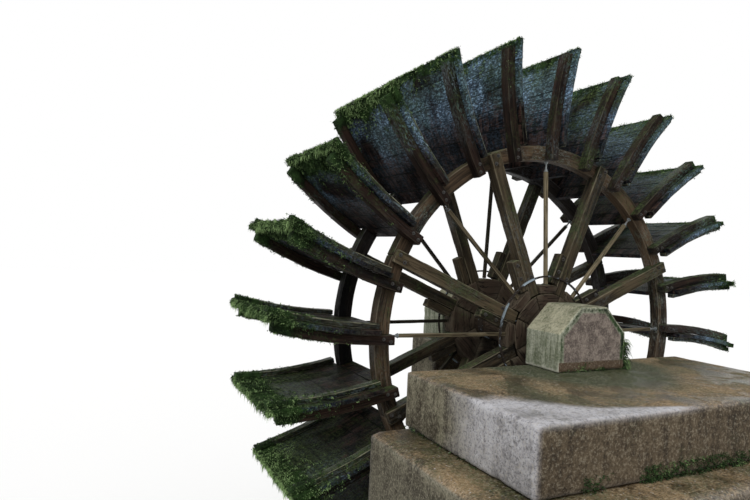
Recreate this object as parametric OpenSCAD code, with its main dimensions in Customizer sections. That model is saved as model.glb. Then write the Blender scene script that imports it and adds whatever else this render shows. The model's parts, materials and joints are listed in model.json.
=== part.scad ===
// Timber water wheel on two concrete piers, millimetres, +Z up.
// The origin lies on the stream bed, under the middle of the whole structure.
// The axle runs along Y. The near side, with the large pier, faces -Y.

/* [Wheel] */
// Clear height between the lowest paddle and the stream bed
bed_clear = 250; // [50:2:1500]
// Outer radius of the two timber rings
ring_r = 1500; // [1300:10:1700]
// Radial depth of a ring
ring_depth = 118; // [80:1:160]
// Axial thickness of a ring
ring_t = 96; // [60:1:140]
// Clear space between the two rings
ring_gap = 574; // [400:1:900]
// Open butt joint between two felloes of a ring
felloe_joint = 2; // [1:0.5:6]

/* [Paddles] */
// Radial reach of a paddle beyond the rings
paddle_reach = 800; // [600:5:900]
// Radius of the circle that each paddle is bent to
bend_r = 3500; // [2400:10:6000]
// Angle between a paddle's chord and the radius, leaning clockwise
chord_lean = 8.4; // [5:0.1:11]
// Thickness of the planks of a paddle
board_t = 38; // [25:1:50]
// Length of plank that stands out past the ribs at each end
board_overhang = 41; // [10:1:80]
// Number of planks in a paddle outside the rings
plank_count = 5; // [3:1:8]
// Depth of the curved rib behind a paddle
rib_depth = 72; // [50:1:90]
// Share of a rib's depth that lies on the clockwise side of its radius at the rim
rib_ahead = 24; // [0:1:50]
// Axial thickness of a rib
rib_t = 85; // [50:1:100]
// Length of plank left bare between the end of a rib and the paddle's tip
rib_short = 45; // [5:1:90]
// Height of the batten that clamps the planks to a rib
batten_h = 40; // [25:1:60]
// Axial thickness of a batten
batten_t = 72; // [30:1:85]

/* [Arms and struts] */
// Width of a main arm across the radius
arm_w = 100; // [80:1:110]
// Axial thickness of a main arm
arm_t = 100; // [80:1:120]
// Part of an arm's thickness that lies behind the ring's outer face
arm_in = 55; // [30:1:70]
// Depth of the pocket in the hub disc that an arm stands in
pocket_depth = 70; // [40:1:110]
// Width of the cleat beside an arm at the hub
cleat_w = 72; // [40:1:90]
// Axial thickness of a cleat
cleat_t = 88; // [50:1:105]
// Length of a cleat
cleat_len = 258; // [100:2:400]
// Side of a square strut
strut_w = 28; // [18:1:40]
// Distance between the ring's outer face and a strut's middle, outwards, at the hub
strut_hub_out = 22; // [0:1:30]
// Distance between the ring's outer face and a strut's middle, inwards, at the ring
strut_ring_in = 32; // [26:1:60]
// Length of the steel rod between a strut and its ring
rod_len = 82; // [40:1:200]
// Radius of the steel rod
rod_r = 7; // [4:0.5:12]

/* [Hub and bearings] */
// Radius of the timber shaft
shaft_r = 150; // [145:1:180]
// Length of shaft that stands out past the hub disc at each end
shaft_proud = 54; // [10:1:60]
// Radius of the hub disc that the arms are let into
disc_r = 390; // [360:1:430]
// Thickness of the disc behind the arms
disc_back = 12; // [6:1:30]
// Thickness of the disc in front of the arms
disc_front = 19; // [14:1:30]
// Clear space between the disc and the flat iron ring that lies on the arms
strap_gap = 58; // [20:1:120]
// Width of the flat iron ring across its radius
strap_w = 14; // [8:1:30]
// Thickness of the flat iron ring along the axle
strap_t = 12; // [5:1:16]
// Radial thickness of the iron hoops on the shaft
hoop_t = 8; // [4:1:12]
// Width of the iron hoops on the shaft
hoop_w = 60; // [30:1:80]
// Radius of the gudgeon's flange
flange_r = 118; // [80:1:140]
// Thickness of the gudgeon's flange
flange_t = 20; // [10:1:28]
// Radius of the gudgeon's journal
journal_r = 45; // [30:1:70]
// Thickness of concrete left between a journal's hole and the outer face of its block
bore_cover = 90; // [40:5:150]
// Clear space between the end of a journal and the bottom of its hole
journal_end_play = 10; // [5:1:20]
// Running clearance around a journal
journal_play = 0.5; // [0.3:0.1:3]

/* [Bearing blocks and piers] */
// Clear space between the paddles and the face of a block or pier
side_clear = 64; // [40:1:200]
// Width of a bearing block
block_w = 650; // [560:5:800]
// Depth of a bearing block along the axle
block_d = 350; // [320:5:500]
// Height of the axle above the top of a pier
axle_drop = 200; // [150:5:300]
// Height of a block's upright sides above the pier top
block_side_h = 270; // [180:5:300]
// Height of a block
block_h = 465; // [440:5:600]
// Width of the flat on top of a block
block_top_w = 260; // [160:5:400]
// Width of the near pier
pier_w = 2690; // [2000:10:3200]
// Depth of the near pier along the axle
pier_d = 1290; // [700:10:1600]
// Height of the near pier above its plinth
pier_h = 380; // [200:10:600]
// Width of the step that the plinth makes round the near pier
plinth_step = 255; // [100:5:400]
// Width of the far pier
far_pier_w = 800; // [700:10:1200]
// Depth of the far pier along the axle
far_pier_d = 430; // [380:10:800]
// Bevel along the top edges of the piers
pier_bevel = 14; // [0:1:40]

/* [Hidden] */

paddles = 24;
arms = 8;
felloes = 8;
seat = 0.3;
overlap = 1;
round_fn = 96;
shoulder_gap = 1.2;
arm_end_inset = 6;
paddle_step = 360 / paddles;
arm_step = 360 / arms;
felloe_step = 360 / felloes;

// Faces of the rings, measured from the wheel's middle plane.
ring_in = ring_gap / 2;
ring_out = ring_in + ring_t;
ring_inner_r = ring_r - ring_depth;
tip_r = ring_r + paddle_reach;
axle_z = tip_r + bed_clear;
strut_end_r = ring_inner_r - rod_len;
arm_foot_r = disc_r - pocket_depth;
strap_r = disc_r + strap_gap;

// Height of an arm's front above the ring's outer face, and the places of the hub disc's two faces.
arm_front = arm_t - arm_in;
disc_y0 = ring_out - arm_in - disc_back;
disc_y1 = ring_out + arm_front + disc_front;

// Places along the axle, measured from the wheel's middle plane or, for wheel_y, from the origin.
board_half = ring_out + rib_t + board_overhang;
pier_face = board_half + side_clear;
near_reach = pier_face + pier_d + plinth_step;
far_reach = pier_face + far_pier_d;
wheel_y = (near_reach - far_reach) / 2;
shaft_half = disc_y1 + shaft_proud;
bore_depth = block_d - bore_cover;
journal_end = pier_face + bore_depth - journal_end_play;
pier_top = axle_z - axle_drop;
plinth_top = pier_top - pier_h;
side_y = [-1, 1];

function paddle_name(k) = str("paddle_board_", k < 10 ? "0" : "", k);

// A paddle's curve lies in a plane of its own: x runs out along the radius and y anticlockwise.
// The curve is where the planks meet the rib. Its heading turns clockwise from the radius.
rim_r = ring_r + 2;
half_turn = asin((tip_r - ring_r) / 2 / bend_r);
rim_heading = chord_lean - half_turn;
tip_heading = heading_at_radius(tip_r, 0);
plank_turn = (tip_heading - rim_heading) / plank_count;

// Point of the curve at a heading, moved off it by d towards the clockwise side.
function curve(h, d) = [
    rim_r + bend_r * (sin(h) - sin(rim_heading)) - d * sin(h),
    -rib_ahead + bend_r * (cos(h) - cos(rim_heading)) - d * cos(h)
];

// Heading at which the curve, moved off by d, reaches the radius r, found by halving the range.
function heading_at_radius(r, d, low = rim_heading - 30, high = rim_heading + 60, steps = 26) =
    steps == 0 ? (low + high) / 2
    : norm(curve((low + high) / 2, d)) < r
        ? heading_at_radius(r, d, (low + high) / 2, high, steps - 1)
        : heading_at_radius(r, d, low, (low + high) / 2, steps - 1);

// Headings of the plank joints, from the foot of the first plank at the rim.
joint_headings = [for (i = [0:plank_count - 1]) rim_heading + i * plank_turn];

// Corner where the curve, moved off by d, crosses the radius r.
function corner_at(r, d) = curve(heading_at_radius(r, d), d);

// Corners along one side of a strip from the rim to the tip, moved off by d.
function outer_side(d) = concat([for (h = joint_headings) curve(h, d)], [corner_at(tip_r, d)]);

// The two corners of the stretch between the ring's inner edge and the rim.
function inner_side(d) = [corner_at(ring_inner_r, d), curve(rim_heading, d)];

// Point on the line from p to q, rib_short before q.
function short_of(p, q) = q + (p - q) * rib_short / norm(q - p);

// Corners along one side of a rib, from the ring's inner edge to its end short of the tip.
function rib_side(d) = concat(
    [corner_at(ring_inner_r, d)],
    [for (h = joint_headings) curve(h, d)],
    [short_of(curve(joint_headings[plank_count - 1], d), corner_at(tip_r, d))]
);

// Outline between two such sides.
module strip(near_side, far_side) {
    last = len(far_side) - 1;
    polygon(concat(near_side, [for (i = [last:-1:0]) far_side[i]]));
}

// Puts its children in the wheel's frame: x out at the angle a, y anticlockwise, z towards -Y.
module at_angle(a) {
    translate([0, wheel_y, axle_z]) rotate([90, 0, 0]) rotate([0, 0, a]) children();
}

// A bar from y0 to y1 along the axle, with its outline drawn in the wheel's plane.
module along_axle(y0, y1) {
    translate([0, 0, -max(y0, y1)]) linear_extrude(abs(y1 - y0)) children();
}

module disc_on_axle(r, y0, y1) {
    at_angle(0) translate([0, 0, -max(y0, y1)]) cylinder(r = r, h = abs(y1 - y0), $fn = round_fn);
}

// Concrete.

// A block with its upper edges bevelled, standing on z0.
module bevelled_block(x, y0, y1, z0, z1) {
    b = pier_bevel;
    profile = [[-x, z0], [x, z0], [x, z1 - b], [x - b, z1], [-x + b, z1], [-x, z1 - b]];
    end_profile = [[y0, z0], [y1, z0], [y1, z1 - b], [y1 - b, z1], [y0 + b, z1], [y0, z1 - b]];
    intersection() {
        translate([0, y1 + overlap, 0]) rotate([90, 0, 0]) linear_extrude(y1 - y0 + 2 * overlap) polygon(profile);
        translate([-x - overlap, 0, 0]) rotate([90, 0, 90]) linear_extrude(2 * (x + overlap)) polygon(end_profile);
    }
}

module near_plinth() {
    color("#6d6a55")
    bevelled_block(pier_w / 2 + plinth_step, wheel_y - near_reach, wheel_y - pier_face, 0, plinth_top);
}

module near_pier() {
    color("#7a6f54")
    bevelled_block(pier_w / 2, wheel_y - pier_face - pier_d, wheel_y - pier_face, plinth_top, pier_top);
}

module far_pier() {
    color("#8b8776")
    bevelled_block(far_pier_w / 2, wheel_y + pier_face, wheel_y + far_reach, 0, pier_top);
}

// Outline of a bearing block with sloped shoulders, drawn about the axle.
module block_outline() {
    z0 = -axle_drop;
    half = block_w / 2;
    top = block_top_w / 2;
    polygon([[-half, z0], [half, z0], [half, z0 + block_side_h], [top, z0 + block_h],
             [-top, z0 + block_h], [-half, z0 + block_side_h]]);
}

module bearing_block(side) {
    difference() {
        at_angle(0) along_axle(side * pier_face, side * (pier_face + block_d)) block_outline();
        disc_on_axle(journal_r + journal_play, side * (pier_face - overlap), side * (pier_face + bore_depth));
    }
}

module near_bearing_block() { color("#9a8f74") bearing_block(-1); }
module far_bearing_block() { color("#a39b80") bearing_block(1); }

// Hub.

module shaft() {
    color("#3a241b") disc_on_axle(shaft_r, -shaft_half, shaft_half);
}

// An iron journal with a flange on the end of the shaft.
module gudgeons() {
    color("#4a3f3a")
    for (side = side_y)
        union() {
            disc_on_axle(flange_r, side * shaft_half, side * (shaft_half + flange_t));
            disc_on_axle(journal_r, side * (shaft_half + overlap), side * journal_end);
        }
}

// A disc with a pocket in its rim for the foot of each arm.
module hub_disc(side) {
    half = arm_w / 2 + seat;
    difference() {
        disc_on_axle(disc_r, side * disc_y0, side * disc_y1);
        disc_on_axle(shaft_r + seat, side * (disc_y0 - overlap), side * (disc_y1 + overlap));
        for (i = [0:arms - 1])
            radial_bar((i + 0.5) * arm_step, arm_foot_r - seat, disc_r + overlap, -half, half,
                       side * (ring_out - arm_in), side * (ring_out + arm_front));
    }
}

module hub_discs() {
    color("#33231b")
    for (side = side_y)
        hub_disc(side);
}

// An iron ring between two radii about the middle of a stretch of the axle.
module iron_ring(r0, r1, y_mid, width) {
    difference() {
        disc_on_axle(r1, y_mid - width / 2, y_mid + width / 2);
        disc_on_axle(r0, y_mid - width / 2 - overlap, y_mid + width / 2 + overlap);
    }
}

// The flat rings on the arms' outer faces, and a hoop on the shaft inside each disc.
module hub_hoops() {
    color("#55504a")
    for (side = side_y) {
        iron_ring(strap_r, strap_r + strap_w, side * (ring_out + arm_front + strap_t / 2), strap_t);
        iron_ring(shaft_r + seat, shaft_r + seat + hoop_t, side * (disc_y0 - 1.5 * hoop_w), hoop_w);
    }
}

// Rings, arms and struts.

// One felloe: a stretch of the ring centred on the angle a.
module felloe(a, side) {
    half = felloe_step / 2;
    far = ring_r * 1.2;
    joint_half = felloe_joint / 2;
    at_angle(a) along_axle(side * ring_in, side * ring_out)
    intersection() {
        difference() {
            circle(r = ring_r, $fn = round_fn);
            circle(r = ring_inner_r, $fn = round_fn);
        }
        translate([joint_half / sin(half), 0])
            polygon([[0, 0], far * [cos(half), -sin(half)], [far * 1.2, 0], far * [cos(half), sin(half)]]);
    }
}

module ring(side) {
    for (i = [0:felloes - 1])
        felloe(i * felloe_step, side);
}

module ring_front() { color("#5a4030") ring(-1); }
module ring_back() { color("#4a3a2e") ring(1); }

// A bar that lies along the radius at the angle a, from r0 to r1 and from w0 to w1 across it.
module radial_bar(a, r0, r1, w0, w1, y0, y1) {
    at_angle(a) along_axle(y0, y1) translate([r0, w0]) square([r1 - r0, w1 - w0]);
}

// Each arm has its full thickness inside the ring and laps over the ring's outer face with the rest.
module main_arms(side) {
    half = arm_w / 2;
    shoulder_r = sqrt(pow(ring_inner_r - shoulder_gap, 2) - pow(half, 2));
    for (i = [0:arms - 1])
        union() {
            radial_bar((i + 0.5) * arm_step, arm_foot_r, shoulder_r, -half, half,
                       side * (ring_out - arm_in), side * (ring_out + arm_front));
            radial_bar((i + 0.5) * arm_step, shoulder_r - overlap, ring_r - arm_end_inset, -half, half,
                       side * ring_out, side * (ring_out + arm_front));
        }
}

module arms_front() { color("#5c5238") main_arms(-1); }
module arms_back() { color("#463d2e") main_arms(1); }

module arm_cleats() {
    color("#50452f")
    for (side = side_y, i = [0:arms - 1])
        radial_bar((i + 0.5) * arm_step, disc_r + seat, disc_r + seat + cleat_len,
                   arm_w / 2 + seat, arm_w / 2 + seat + cleat_w,
                   side * (ring_out + arm_front - cleat_t), side * (ring_out + arm_front));
}

// The struts splay: each stands further out along the axle at the hub than at the ring.
module light_struts(side) {
    r0 = disc_r + seat;
    r1 = strut_end_r;
    z0 = -side * (ring_out + strut_hub_out);
    z1 = -side * (ring_out - strut_ring_in);
    half = strut_w / 2;
    for (i = [0:arms - 1])
        at_angle(i * arm_step) rotate([90, 0, 0]) linear_extrude(strut_w, center = true)
            polygon([[r0, z0 - half], [r1, z1 - half], [r1, z1 + half], [r0, z0 + half]]);
}

module struts_front() { color("#a08a62") light_struts(-1); }
module struts_back() { color("#4f4636") light_struts(1); }

module strut_rods() {
    color("#6a6762")
    for (side = side_y, i = [0:arms - 1])
        at_angle(i * arm_step)
        translate([strut_end_r + seat, 0, -side * (ring_out - strut_ring_in)])
        rotate([0, 90, 0]) cylinder(r = rod_r, h = ring_inner_r - strut_end_r - 2 * seat, $fn = 24);
}

// Paddles.

module paddle_rib(a, side) {
    at_angle(a) along_axle(side * ring_out, side * (ring_out + rib_t))
        strip(rib_side(-rib_depth), rib_side(0));
}

module ribs(side) {
    for (k = [0:paddles - 1])
        paddle_rib(k * paddle_step, side);
}

module ribs_front() { color("#2f2a1f") ribs(-1); }
module ribs_back() { color("#2a261d") ribs(1); }

batten_y = ring_out + rib_t / 2;

module paddle_batten(a, side) {
    d0 = board_t + 2 * seat;
    at_angle(a) along_axle(side * (batten_y - batten_t / 2), side * (batten_y + batten_t / 2))
        strip(outer_side(d0), outer_side(d0 + batten_h));
}

module battens(side) {
    for (k = [0:paddles - 1])
        paddle_batten(k * paddle_step, side);
}

module battens_front() { color("#4c5430") battens(-1); }
module battens_back() { color("#3c4428") battens(1); }

// The planks of one paddle: the full length outside the rings, and the stretch between the rings.
module paddle_board(k) {
    d1 = seat + board_t;
    color("#2c3322")
    at_angle(180 - (k - 1) * paddle_step)
    union() {
        along_axle(-board_half, board_half) strip(outer_side(seat), outer_side(d1));
        along_axle(-ring_in, ring_in) strip(inner_side(seat), inner_side(d1));
    }
}

near_plinth();
near_pier();
near_bearing_block();
far_pier();
far_bearing_block();
shaft();
gudgeons();
hub_discs();
hub_hoops();
ring_front();
ring_back();
arms_front();
arms_back();
arm_cleats();
struts_front();
struts_back();
strut_rods();
ribs_front();
ribs_back();
battens_front();
battens_back();
for (k = [1:paddles])
    paddle_board(k);
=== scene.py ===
"""Looks of a timber water wheel that turns between two concrete bearing blocks.

Every length is in metres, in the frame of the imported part: the axle runs along Y and Z points up.
"""

import json
import logging
import math
from collections.abc import Callable
from dataclasses import dataclass, field
from enum import Enum
from functools import cache, cached_property, partial

import bpy
import numpy as np
from mathutils import Matrix, Vector


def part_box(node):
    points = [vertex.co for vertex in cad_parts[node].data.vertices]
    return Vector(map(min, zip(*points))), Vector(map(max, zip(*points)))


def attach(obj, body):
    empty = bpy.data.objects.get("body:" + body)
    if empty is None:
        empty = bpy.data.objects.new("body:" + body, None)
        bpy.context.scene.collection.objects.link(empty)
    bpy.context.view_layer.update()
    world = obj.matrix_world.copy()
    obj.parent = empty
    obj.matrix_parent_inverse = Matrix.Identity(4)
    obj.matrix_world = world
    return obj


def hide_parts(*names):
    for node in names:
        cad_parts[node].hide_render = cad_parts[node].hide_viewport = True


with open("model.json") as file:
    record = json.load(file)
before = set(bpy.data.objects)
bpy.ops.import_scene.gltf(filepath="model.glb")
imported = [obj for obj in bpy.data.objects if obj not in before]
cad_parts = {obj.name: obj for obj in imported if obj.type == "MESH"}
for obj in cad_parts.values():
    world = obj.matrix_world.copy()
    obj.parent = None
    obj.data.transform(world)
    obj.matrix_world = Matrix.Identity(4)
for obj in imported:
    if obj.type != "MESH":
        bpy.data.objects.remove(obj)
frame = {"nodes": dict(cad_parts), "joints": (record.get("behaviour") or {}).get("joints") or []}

LOG = logging.getLogger("water_wheel")
SHARP_ANGLE = math.radians(38)
HAIRLINE = 0.0003

Material = bpy.types.Material
Socket = bpy.types.NodeSocket
Sockets = bpy.types.bpy_prop_collection
Tree = bpy.types.NodeTree
Colour = tuple[float, float, float]
Array = np.ndarray
Numbers = Array | float
Cover = Callable[[Array], Array]


class Body(Enum):
    """The two bodies of the part."""

    PIERS = "piers"
    WHEEL = "wheel"


class Side(Enum):
    """The two ends of the wheel. The value is the sign of their distance along the axle."""

    NEAR = -1
    FAR = 1

    @property
    def word(self) -> str:
        """Name of the side as the CAD nodes spell it."""
        return "front" if self is Side.NEAR else "back"


def colour(red: int, green: int, blue: int) -> Colour:
    """Turns display values into the linear values that a shader takes.

    Args:
        red: Red from 0 to 255.
        green: Green from 0 to 255.
        blue: Blue from 0 to 255.

    Returns:
        The linear colour.
    """
    linear = [
        part / 12.92 if part <= 0.04045 else ((part + 0.055) / 1.055) ** 2.4
        for part in (red / 255, green / 255, blue / 255)
    ]
    return (linear[0], linear[1], linear[2])


def lattice_noise(points: Array, seed: int) -> Array:
    """Smooth value noise that is the same on each run.

    Args:
        points: Array of n points, where one unit is one cell of the noise.
        seed: Number that picks the pattern.

    Returns:
        n values from -1 to 1.
    """
    cell = np.floor(points).astype(np.int64)
    part = points - cell
    part = part * part * (3 - 2 * part)
    total = np.zeros(len(points))
    for corner in range(8):
        step = np.array([corner & 1, corner >> 1 & 1, corner >> 2 & 1])
        at = cell + step
        key = at[:, 0] * 374761393 + at[:, 1] * 668265263 + at[:, 2] * 2147483647 + seed * 1274126177
        key = (key ^ (key >> 13)) * 1274126177 & 0x7FFFFFFF
        key = (key ^ (key >> 16)) & 0xFFFFFF
        weight = np.prod(np.where(step, part, 1 - part), axis=1)
        total += (key / 0x7FFFFF - 1) * weight
    return total


def layered_noise(points: Array, seed: int, layers: int = 3) -> Array:
    """Sum of finer and finer value noise.

    Args:
        points: Array of n points, where one unit is one cell of the coarsest layer.
        seed: Number that picks the pattern.
        layers: How many layers are added, each twice as fine and half as strong.

    Returns:
        n values, mostly from -1 to 1.
    """
    total = np.zeros(len(points))
    for layer in range(layers):
        total += lattice_noise(points * 2**layer + layer * 17.3, seed + layer) / 2**layer
    return total / (2 - 0.5 ** (layers - 1))


def pitting(points: Array, seed: int) -> Array:
    """Layered noise from 0 to 1, as depths of pits are measured."""
    return (layered_noise(points, seed) + 1) / 2


def ease(value: Array, low: float, high: float) -> Array:
    """Smooth step of values, from 0 at low to 1 at high."""
    part = np.clip((value - low) / (high - low), 0, 1)
    return part * part * (3 - 2 * part)


def lengthwise(line: Array) -> Array:
    """Distance of each point of a line from its start, measured along it."""
    return np.concatenate([[0], np.cumsum(np.linalg.norm(np.diff(line, axis=0), axis=1))])


def unit(rows: Array) -> Array:
    """Vectors of length 1 along the given ones."""
    return rows / np.linalg.norm(rows, axis=-1, keepdims=True)


def circle(angles: Array) -> Array:
    """Points of the unit circle, as rows of x and y."""
    return np.stack([np.cos(angles), np.sin(angles)], axis=1)


def add_object(name: str, data: bpy.types.ID) -> bpy.types.Object:
    """Adds an object to the scene.

    Args:
        name: Name of the object.
        data: Its mesh, lamp or lens.

    Returns:
        The object.
    """
    made = bpy.data.objects.new(name, data)
    bpy.context.scene.collection.objects.link(made)
    return made


def store(mesh: bpy.types.Mesh, name: str, values: Array) -> None:
    """Writes a surface value into a mesh.

    Args:
        mesh: The mesh.
        name: Name of the value.
        values: A number or a vector for each point.
    """
    kind, part = ("FLOAT_VECTOR", "vector") if values.ndim == 2 else ("FLOAT", "value")
    kept = mesh.attributes.new(name, kind, "POINT")
    kept.data.foreach_set(part, values.astype(np.float32).ravel())


def add_piece(
    name: str, mesh: bpy.types.Mesh, material: Material, body: Body, slot: str, replaced: tuple[str, ...]
) -> None:
    """Dresses a mesh, shows it, lets it ride on its body and reports it.

    Args:
        name: Name of the piece.
        mesh: Its mesh.
        material: Finish of the whole piece.
        body: Body that carries the piece.
        slot: The record's material slot; not used.
        replaced: CAD nodes that the piece stands for.
    """
    mesh.materials.clear()
    mesh.materials.append(material)
    made = add_object(name, mesh)
    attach(made, body.value)
    if replaced:
        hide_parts(*replaced)
    LOG.info("%s: %d triangles", made.name, len(mesh.loops) - 2 * len(mesh.polygons))


@dataclass(frozen=True)
class Wheel:
    """Main sizes of the wheel, and the way from places on it to places in the frame."""

    ring_r: float = 1.500
    ring_inner_r: float = 1.382
    ring_in: float = 0.287
    ring_out: float = 0.383
    tip_r: float = 2.300
    arm_step: float = math.radians(45)
    paddle_step: float = math.radians(15)
    paddles: int = 24
    arms: int = 8

    @property
    def axle(self) -> Vector:
        """Middle of the wheel on its axle."""
        return Vector(frame["joints"][0]["pos_m"])

    def place(
        self, angle: float, out: Numbers, across: Numbers, axial: Numbers
    ) -> Array:
        """Points of the frame for places on the wheel.

        Args:
            angle: Angle of the radius that the places are measured from, anticlockwise.
            out: Distances out along that radius.
            across: Distances across it, anticlockwise.
            axial: Distances along the axle from the wheel's middle plane, away from the camera.

        Returns:
            One point, or an array of n points.
        """
        out, across, axial = np.broadcast_arrays(out, across, axial)
        x = out * math.cos(angle) - across * math.sin(angle)
        z = out * math.sin(angle) + across * math.cos(angle)
        return np.stack([x, axial, z], axis=-1) + np.array(self.axle)

    def set_out(self, angle: float, flat: Array, axial: Numbers) -> Array:
        """Points of the frame for rows of distances out along a radius and across it."""
        return self.place(angle, flat[:, 0], flat[:, 1], axial)

    def way(self, angle: float, out: Numbers, across: Numbers) -> Array:
        """Direction in the frame for one that is given out along a radius and across it."""
        return self.place(angle, out, across, 0.0) - self.place(angle, 0.0, 0.0, 0.0)

    def radius_of(self, points: Array) -> Array:
        """Distance of each point from the axle."""
        away = points - np.array(self.axle)
        return np.hypot(away[:, 0], away[:, 2])

    def reach(self, points: Array) -> Array:
        """How far out each point lies: 0 at the axle, 1 at the rim and 2 at a paddle's tip."""
        return np.interp(self.radius_of(points), [0, self.ring_r, self.tip_r], [0, 1, 2])

    def paddle_angle(self, number: int) -> float:
        """Angle of a paddle's radius: paddle 1 lies level on the left, and the numbers rise clockwise."""
        return math.pi - (number - 1) * self.paddle_step


WHEEL = Wheel()


@dataclass(frozen=True)
class PaddleCurve:
    """The curve that a paddle's ribs and planks follow, with x out along the radius and y anticlockwise."""

    rim_r: float = WHEEL.ring_r + 0.002
    bend_r: float = 3.500
    chord_lean: float = math.radians(8.4)
    ahead: float = 0.024
    planks: int = 5

    @property
    def rim_heading(self) -> float:
        """Heading of the curve at the rim, clockwise from the radius."""
        return self.chord_lean - math.asin((WHEEL.tip_r - WHEEL.ring_r) / 2 / self.bend_r)

    def point(self, heading: float, off: float) -> Array:
        """Point of the curve at a heading.

        Args:
            heading: Heading of the curve, clockwise from the radius.
            off: Distance moved off the curve towards its clockwise side.

        Returns:
            The point as x and y.
        """
        start = self.rim_heading
        return np.array([
            self.rim_r + self.bend_r * (math.sin(heading) - math.sin(start)) - off * math.sin(heading),
            -self.ahead + self.bend_r * (math.cos(heading) - math.cos(start)) - off * math.cos(heading),
        ])

    def corner(self, radius: float, off: float) -> Array:
        """Point where the curve, moved off towards its clockwise side, crosses a radius."""
        return self.point(self._heading_at(radius, off), off)

    def _heading_at(self, radius: float, off: float) -> float:
        """Heading at which the curve, moved off, reaches a radius, found by halving the range.

        Args:
            radius: Distance from the axle.
            off: Distance moved off the curve.

        Returns:
            The heading.
        """
        low = self.rim_heading - math.radians(30)
        high = self.rim_heading + math.radians(60)
        for _ in range(40):
            middle = (low + high) / 2
            if np.linalg.norm(self.point(middle, off)) < radius:
                low = middle
            else:
                high = middle
        return (low + high) / 2

    def joints(self, off: float) -> Array:
        """Corners of the planks along one side.

        Args:
            off: Distance of that side from the curve.

        Returns:
            The corners as rows of x and y, from the rim to the tip.
        """
        last = self._heading_at(WHEEL.tip_r, 0)
        turn = (last - self.rim_heading) / self.planks
        inner = [self.point(self.rim_heading + turn * step, off) for step in range(self.planks)]
        return np.array([*inner, self.corner(WHEEL.tip_r, off)])

    def foot(self, off: float) -> Array:
        """The two corners of the stretch between the ring's inner edge and the rim."""
        return np.array([self.corner(WHEEL.ring_inner_r, off), self.point(self.rim_heading, off)])


CURVE = PaddleCurve()


def no_cover(points: Array) -> Array:
    """Moss cover of a piece that carries none."""
    return np.zeros(len(points))


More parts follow.
